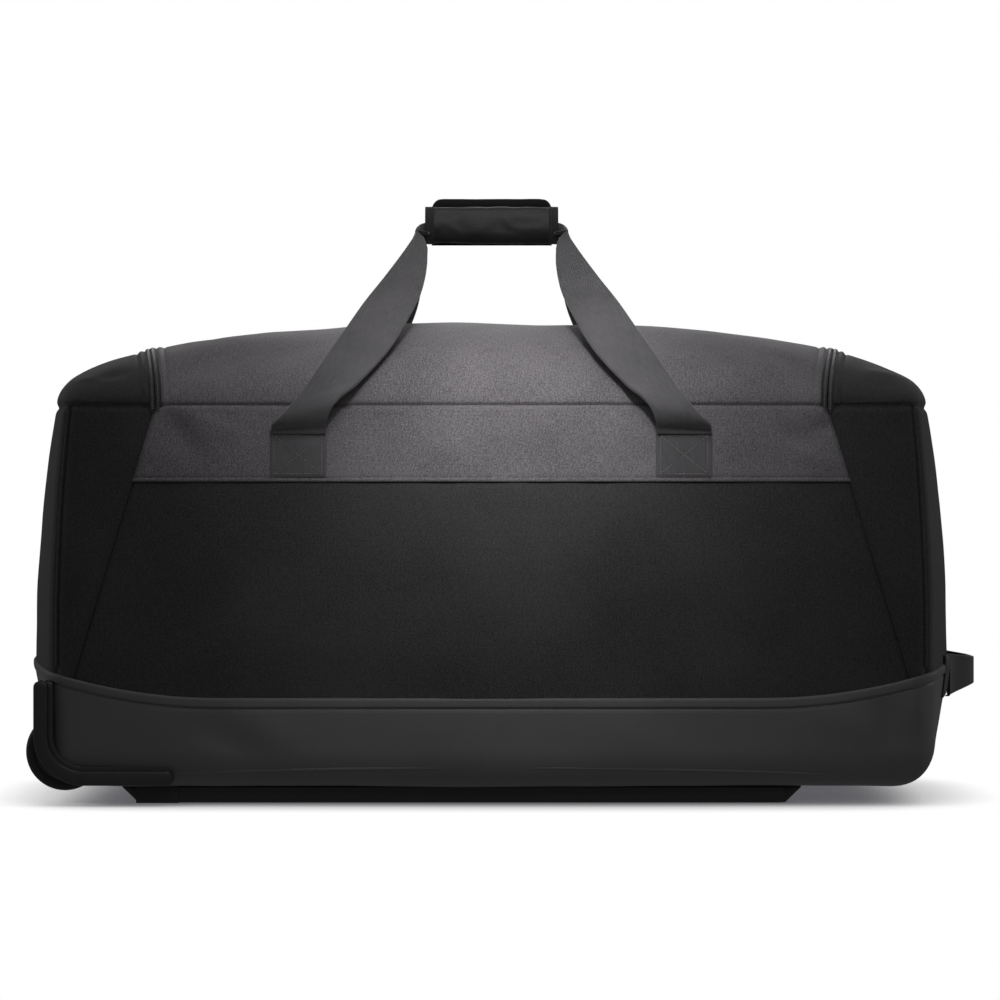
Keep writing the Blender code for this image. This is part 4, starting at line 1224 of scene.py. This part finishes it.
def build_patches():
    thread_rows = []
    for side, word in ((-1, "near"), (1, "far")):
        for end, end_word in ((-1, "left"), (1, "right")):
            node = f"{word}_{end_word}_handle_patch"
            low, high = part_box(node)
            centre_x = (low.x + high.x) / 2
            u = shares(0.052, 0.003)[None, :]
            v = shares(0.041, 0.003)[:, None]
            x = mix(low.x, high.x, u) + 0.0 * v
            z = mix(low.z, high.z + 0.002, v) + 0.0 * u
            y = side * side_y(x - MIDDLE_X, z, 0.0016)
            points = np.stack([x, y, z], axis=-1)
            bump = 0.0012 + tuck(edge_fall(points), 0.0010, 0.0012)
            lines = box_and_cross(centre_x - 0.0215, centre_x + 0.0215, low.z + 0.003, high.z - 0.003)
            lines.append(((centre_x - 0.024, high.z + 0.0002), (centre_x + 0.024, high.z + 0.0002)))
            for (x0, z0), (x1, z1) in lines:
                away = points * (1, 0, 1) - np.array([x0, 0, z0])
                run = np.array([x1 - x0, 0, z1 - z0])
                share = np.clip(away @ run / (run @ run), 0.0, 1.0)
                distance = np.linalg.norm(away - share[..., None] * run, axis=-1)
                bump -= 0.0004 * np.exp(-(distance / 0.0010) ** 2)
                share = np.linspace(0.0, 1.0, 30)
                line_x, line_z = mix(x0, x1, share), mix(z0, z1, share)
                line = np.stack([line_x, side * side_y(line_x - MIDDLE_X, line_z, 0.0028), line_z], axis=-1)
                thread_rows.append(stitch_row(line, np.array([0.0, side, 0.0]), 0.0034))
            obj = cloth(node + "_webbing", points, bump, WEBBING, WEBBING, thickness=0.0012)
            place(obj, "bag_body", "webbing", node)
    stitches("patch_stitches", thread_rows, "bag_body", THREAD)


def build_hem_stitches():
    """Two rows of top-stitching along the wrap's hem on each long side."""
    hem_rows = []
    for side in (-1, 1):
        x = np.linspace(-0.368, 0.368, 260)
        for drop in (0.0022, 0.0074):
            z = wrap_edge_z(x) - drop
            route = np.stack([MIDDLE_X + x, side * side_y(x, z, 0.0011), z], axis=-1)
            hem_rows.append(stitch_row(route, np.array([0.0, side, 0.0]), 0.0046))
    stitches("hem_stitches", hem_rows, "bag_body", DARK_THREAD)


# ---- bottom: rails, guards, wheels ---------------------------------------------------------------
def build_rails():
    for word in ("near", "far"):
        guard_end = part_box(word + "_corner_guard")[1].x + 0.0005
        low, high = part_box(word + "_skid_rail")
        middle = (low.y + high.y) / 2
        x = np.linspace(low.x, high.x, 90)
        slope = 0.0145
        top = high.z
        under = low.z + np.maximum(
            np.clip((low.x + slope - x) / slope, 0.0, 1.0), np.clip((x - high.x + slope) / slope, 0.0, 1.0),
        ) * (top - 0.003 - low.z)
        width = high.y - low.y
        outline = superellipse(7.0, 28)
        rings = np.array([
            [(position, middle + a * width, (top + bottom) / 2 + b * (top - bottom)) for a, b in outline]
            for position, bottom in zip(x, under)
        ])
        lip = np.abs(rings[..., 2] - (top - 0.004)) < 0.0016
        rings[..., 1] += np.where(lip, np.sign(rings[..., 1] - middle) * 0.0007, 0.0)
        faces = tube_faces(*rings.shape[:2])
        verts = rings.reshape(-1, 3)
        rail = new_object(word + "_rail_moulding", verts, faces, None, [RAIL], sharp_degrees=35)
        fix_normals(rail)
        place(rail, "bag_body", "moulded_plastic", word + "_skid_rail")
        foot = rounded_box(
            word + "_rail_foot", (guard_end - 0.040, middle - width / 2 - 0.0006, low.z),
            (guard_end, middle + width / 2, top), 0.0008, RAIL,
        )
        place(foot, "bag_body", "moulded_plastic")


GUARD_BEND = 0.046
GUARD_WIDTH = 0.0135


def build_guards():
    for side, word in ((-1, "near"), (1, "far")):
        low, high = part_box(word + "_corner_guard")
        middle_y = (low.y + high.y) / 2
        radius = GUARD_BEND - GUARD_WIDTH / 2
        bend_x, bend_z = low.x + GUARD_BEND, low.z + GUARD_BEND
        turn = np.radians(np.linspace(0.0, 90.0, 30))
        down = np.linspace(high.z, bend_z, 24)[:-1]
        out = np.linspace(bend_x, high.x, 34)[1:]
        route = np.concatenate([
            np.stack([np.full_like(down, low.x + GUARD_WIDTH / 2), down], axis=-1),
            np.stack([bend_x - radius * np.cos(turn), bend_z - radius * np.sin(turn)], axis=-1),
            np.stack([out, np.full_like(out, low.z + GUARD_WIDTH / 2)], axis=-1),
        ])
        route = np.stack([route[:, 0], np.full(len(route), middle_y), route[:, 1]], axis=-1)
        guard = sweep(
            word + "_guard_moulding", route, np.array([0.0, side, 0.0]), superellipse(4.5, 28),
            GUARD_WIDTH, high.y - low.y, PLASTIC, round_ends=0.006,
        )
        place(guard, "bag_body", "moulded_plastic", word + "_corner_guard")
        inner = route * (1, 0, 1) + np.array([0.0, side * 0.1805, 0.0])
        turned = unit(np.gradient(inner, axis=0))
        inner = inner + np.stack([-turned[:, 2], 0.0 * turned[:, 0], turned[:, 0]], axis=-1) * 0.0052
        skirt = sweep(
            word + "_guard_skirt", inner, np.array([0.0, side, 0.0]), superellipse(5.0, 20),
            0.0125, 0.0125, PLASTIC, round_ends=0.005,
        )
        place(skirt, "bag_body", "moulded_plastic")


def lathe(name, profile, centre, material, steps=96):
    """A closed body of revolution about an axle along Y; profile holds (radius, y) points."""
    angles = np.linspace(0.0, 2 * math.pi, steps, endpoint=False)
    profile = np.array(profile)
    count = len(profile)
    verts = np.stack([
        centre.x + np.outer(np.cos(angles), profile[:, 0]),
        np.broadcast_to(centre.y + profile[:, 1], (steps, count)),
        centre.z + np.outer(np.sin(angles), profile[:, 0]),
    ], axis=-1).reshape(-1, 3)
    faces = tube_faces(steps, count, closed=True)
    obj = new_object(name, verts, faces, None, [material], sharp_degrees=35)
    fix_normals(obj)
    return obj


def both_faces(profile):
    """A wheel's profile and its mirror image across the wheel's middle plane."""
    return profile + [(radius, -y) for radius, y in reversed(profile)]


def build_wheels():
    half = WHEEL_WIDTH / 2
    for side, word in ((-1, "near"), (1, "far")):
        centre = Vector((WHEEL_CENTRE.x, side * abs(WHEEL_CENTRE.y), WHEEL_CENTRE.z))
        rim = WHEEL_RADIUS - 0.009
        shoulder = [
            (WHEEL_RADIUS - 0.005 + 0.005 * math.sin(a), half - 0.005 + 0.005 * math.cos(a))
            for a in np.linspace(0.0, math.pi / 2, 7)
        ]
        groove = [
            (WHEEL_RADIUS, GROOVE_Y + 0.0012), (WHEEL_RADIUS - 0.0012, GROOVE_Y + 0.0006),
            (WHEEL_RADIUS - 0.0012, GROOVE_Y - 0.0006), (WHEEL_RADIUS, GROOVE_Y - 0.0012),
        ]
        outline = both_faces([(rim, half - 0.001), *shoulder, *groove])
        tyre = lathe(word + "_tyre_moulding", outline, centre, RUBBER)
        place(tyre, word + "_wheel", "rubber", word + "_tyre")
        hub = both_faces([
            (0.0046, half - 0.002), (0.0092, half - 0.002), (0.0100, half - 0.0028), (0.0106, 0.0050),
            (rim - 0.0050, 0.0050), (rim - 0.0042, half - 0.0012), (rim - 0.0034, half - 0.0004),
            (rim - 0.0004, half - 0.0004),
        ])
        body = lathe(word + "_hub_moulding", hub, centre, PLASTIC)
        spokes = []
        for k in range(6):
            spoke = rounded_box(
                f"{word}_spoke_{k}", (0.0095, 0.0028 - half, -0.0014),
                (rim - 0.0040, half - 0.0028, 0.0014), 0.0006, PLASTIC, 2,
            )
            spoke.rotation_euler = (0.0, math.radians(60.0 * k + 15.0), 0.0)
            spoke.location = centre
            spokes.append(spoke)
        bpy.context.view_layer.update()
        place(join(body, *spokes), word + "_wheel", "moulded_plastic", word + "_wheel_hub")
        low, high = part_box(word + "_axle")
        length = (high.y - low.y) / 2
        pin = both_faces([(0.0, length), (0.0032, length), (0.0040, length - 0.0008)])
        axle = lathe(word + "_axle_pin", pin, Vector((centre.x, (low.y + high.y) / 2, centre.z)), STEEL, 40)
        bm = bmesh.new()
        bm.from_mesh(axle.data)
        bmesh.ops.remove_doubles(bm, verts=bm.verts, dist=0.00001)
        bm.to_mesh(axle.data)
        bm.free()
        place(axle, "bag_body", "steel", word + "_axle")


def build_housings():
    """The moulded well over each wheel: a curved roof with a rolled lip and an inner wall with ribs."""
    depth = WHEEL_WIDTH / 2 + 0.0056
    for side, word in ((-1, "near"), (1, "far")):
        angle = np.radians(np.linspace(-18.0, 108.0, 60))[None, :]
        stops = [
            (WELL_RADIUS, depth - 0.0005), (WELL_RADIUS, 0.0), (WELL_RADIUS, 0.004 - depth),
            (WELL_RADIUS - 0.0012, 0.0012 - depth),
        ]
        stops += [(mix(WELL_RADIUS - 0.004, 0.0046, k / 9), -depth) for k in range(10)]
        radius = np.array([r for r, _ in stops])[:, None]
        offset = np.array([o for _, o in stops])[:, None]
        points = np.stack([
            WHEEL_CENTRE.x + radius * np.cos(angle),
            side * (abs(WHEEL_CENTRE.y) + offset) + 0.0 * angle,
            WHEEL_CENTRE.z + radius * np.sin(angle),
        ], axis=-1)
        heart = np.array([WHEEL_CENTRE.x, side * (abs(WHEEL_CENTRE.y) + 0.01), WHEEL_CENTRE.z])
        ribs = 0.0003 * np.cos(np.degrees(angle) / 15.0 * 2 * math.pi)
        bump = ribs * (radius < WELL_RADIUS - 0.005) + 0.0 * radius
        obj = cloth(word + "_housing_moulding", points, bump, PLASTIC, PLASTIC, thickness=0.0020, heart=heart)
        place(obj, "bag_body", "moulded_plastic", word + "_wheel_housing")


def build_board():
    low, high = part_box("base_board")
    board = rounded_box("base_board_sheet", low, high, 0.0008, BOARD)
    place(board, "bag_body", "board", "base_board")


TOW_LOW = 0.0960
TOW_HIGH = 0.1360


# ---- tow handle ----------------------------------------------------------------------------------
def build_tow():
    """A loop of webbing sewn to the end panel, folded narrower where the hand takes it."""
    low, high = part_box("tow_strap")
    reach = (high.y - low.y) / 2 + 0.002
    share = np.linspace(-1.0, 1.0, 90)
    away = np.clip((1.0 - np.abs(share)) * 1.25, 0.0, 1.0)
    swell = away * away * (3.0 - 2.0 * away)
    x = mix(end_x(reach, TOW_HIGH - 0.02) + MIDDLE_X + 0.0032, high.x - 0.0024, swell)
    lower = np.stack([x, reach * share, mix(TOW_LOW, TOW_LOW + 0.0095, swell)], axis=-1)
    upper = np.stack([x, reach * share, mix(TOW_HIGH, TOW_HIGH - 0.0045, swell)], axis=-1)
    heart = np.array([0.30, 0.0, 0.11])
    strap = ribbon("tow_strap_webbing", lower, upper, 0.0030, DARK_WEBBING_AND_FOLD_SHADE, heart)
    place(strap, "tow_handle", "webbing", "tow_strap")
    rows = []
    for side, word in ((-1, "near"), (1, "far")):
        patch_low, patch_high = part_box(word + "_tow_patch")
        u = shares(0.034, 0.003)[None, :]
        v = shares(0.041, 0.003)[:, None]
        y = mix(patch_low.y, patch_high.y, u) + 0.0 * v
        z = mix(TOW_LOW, TOW_HIGH, v) + 0.0 * u
        points = np.stack([MIDDLE_X + end_x(y, z) + 0.0022, y, z], axis=-1)
        bump = 0.0012 + tuck(edge_fall(points), 0.0010, 0.0012)
        obj = cloth(word + "_tow_patch_webbing", points, bump, DARK_WEBBING_AND_FOLD_SHADE, DARK_WEBBING_AND_FOLD_SHADE, thickness=0.0012)
        place(obj, "bag_body", "webbing", word + "_tow_patch")
        lines = box_and_cross(
            patch_low.y + 0.004, patch_high.y - 0.004, TOW_LOW + 0.004, TOW_HIGH - 0.004,
        )
        for (y0, z0), (y1, z1) in lines:
            t = np.linspace(0.0, 1.0, 20)
            line_y, line_z = mix(y0, y1, t), mix(z0, z1, t)
            line = np.stack([MIDDLE_X + end_x(line_y, line_z) + 0.0036, line_y, line_z], axis=-1)
            rows.append(stitch_row(line, np.array([1.0, 0.0, 0.0]), 0.0036))
    stitches("tow_stitches", rows, "bag_body", THREAD)


# ---- stage ----------------------------------------------------------------------------------------
def add_light(name, kind, location, target, power):
    """A lamp of the given kind that points at target; returns its settings."""
    data = bpy.data.lights.new(name, kind)
    data.energy = power
    light = bpy.data.objects.new(name, data)
    light.location = location
    aim = Vector(target) - Vector(location)
    light.rotation_euler = aim.to_track_quat("-Z", "Y").to_euler()
    bpy.context.scene.collection.objects.link(light)
    return data


def area_light(name, location, target, size, power):
    data = add_light(name, "AREA", location, target, power)
    data.shape = "RECTANGLE"
    data.size = data.size_y = size


def spot_light(name, location, target, degrees, power, softness):
    data = add_light(name, "SPOT", location, target, power)
    data.spot_size = math.radians(degrees)
    data.spot_blend = 1.0
    data.shadow_soft_size = softness


def stage_piece(name, bm, material, location):
    obj = object_from_bmesh(name, bm, material)
    obj.location = location
    for kind in ("diffuse", "glossy", "transmission", "volume_scatter", "shadow"):
        setattr(obj, "visible_" + kind, False)


def glowing(name):
    n = Nodes(name)
    n.shader.inputs["Base Color"].default_value = (0.0, 0.0, 0.0, 1.0)
    n.shader.inputs["Specular IOR Level"].default_value = 0.0
    n.shader.inputs["Emission Color"].default_value = (1.0, 1.0, 1.0, 1.0)
    n.shader.inputs["Emission Strength"].default_value = 1.0
    return n


FLOOR_HALF = 9.0
ROOM_RADIUS = 14.0
WORLD_STRENGTH = 0.126
BAG_MIDDLE = (0.0, 0.1, 0.25)    # what the back and end lamps point at


def make_stage():
    """A white room that only the camera sees; the floor's glow is darkened close under the bag as a painted
    contact shadow.
    """
    floor_shine = glowing("floor_white_painted_shadow")
    # Painted contact shadow: ambient occlusion turns the floor's emitted white darker under and near the bag.
    nearness = floor_shine.add("AmbientOcclusion", {"Distance": 0.11}, samples=16).outputs["AO"]
    shade = floor_shine.ramp(nearness, ((0.05, (0.10, 0.10, 0.11)), (0.80, (1.0, 1.0, 1.0))))
    floor_shine.link(shade, "Emission Color")
    bm = bmesh.new()
    bmesh.ops.create_grid(bm, x_segments=2, y_segments=2, size=FLOOR_HALF)
    stage_piece("floor", bm, floor_shine.material, (0.0, 0.0, CAD_BOUNDS[0].z - 0.0002))
    bm = bmesh.new()
    bmesh.ops.create_uvsphere(bm, u_segments=48, v_segments=24, radius=ROOM_RADIUS)
    stage_piece("room", bm, glowing("room_white").material, (0.0, 0.0, 0.0))
    world = bpy.data.worlds.new("studio")
    world.use_nodes = True
    background = world.node_tree.nodes["Background"]
    background.inputs["Color"].default_value = (1.0, 1.0, 1.0, 1.0)
    background.inputs["Strength"].default_value = WORLD_STRENGTH
    bpy.context.scene.world = world
    bpy.context.scene.view_settings.view_transform = "Standard"
    area_light("overhead", (0.02, -0.30, 1.5), (0.02, 0.0, 0.4), 0.8, 3.0)
    spot_light("key", (0.015, -1.3, 0.95), (0.015, -0.19, 0.385), 17, 40.0, 0.06)
    spot_light("key_wide", (0.015, -1.3, 0.95), (0.015, -0.19, 0.385), 30, 15.0, 0.08)
    spot_light("high", (0.015, -1.2, 1.3), (0.015, -0.17, 0.40), 36, 16.0, 0.12)
    spot_light("low", (0.03, -2.0, 0.75), (0.03, -0.19, 0.20), 38, 5.5, 0.15)
    area_light("back", (0.0, 2.4, 1.3), BAG_MIDDLE, 1.2, 16.0)
    for word, x in (("left", -2.2), ("right", 2.2)):
        area_light(word + "_end", (x, 0.4, 0.9), BAG_MIDDLE, 0.9, 4.0)


make_camera()
build_walls()
build_piping()
build_caps()
build_wrap()
build_lid()
build_zip()
build_sliders()
build_straps()
build_grip()
build_flap()
build_patches()
build_hem_stitches()
build_rails()
build_guards()
build_wheels()
build_housings()
build_board()
build_tow()
make_stage()
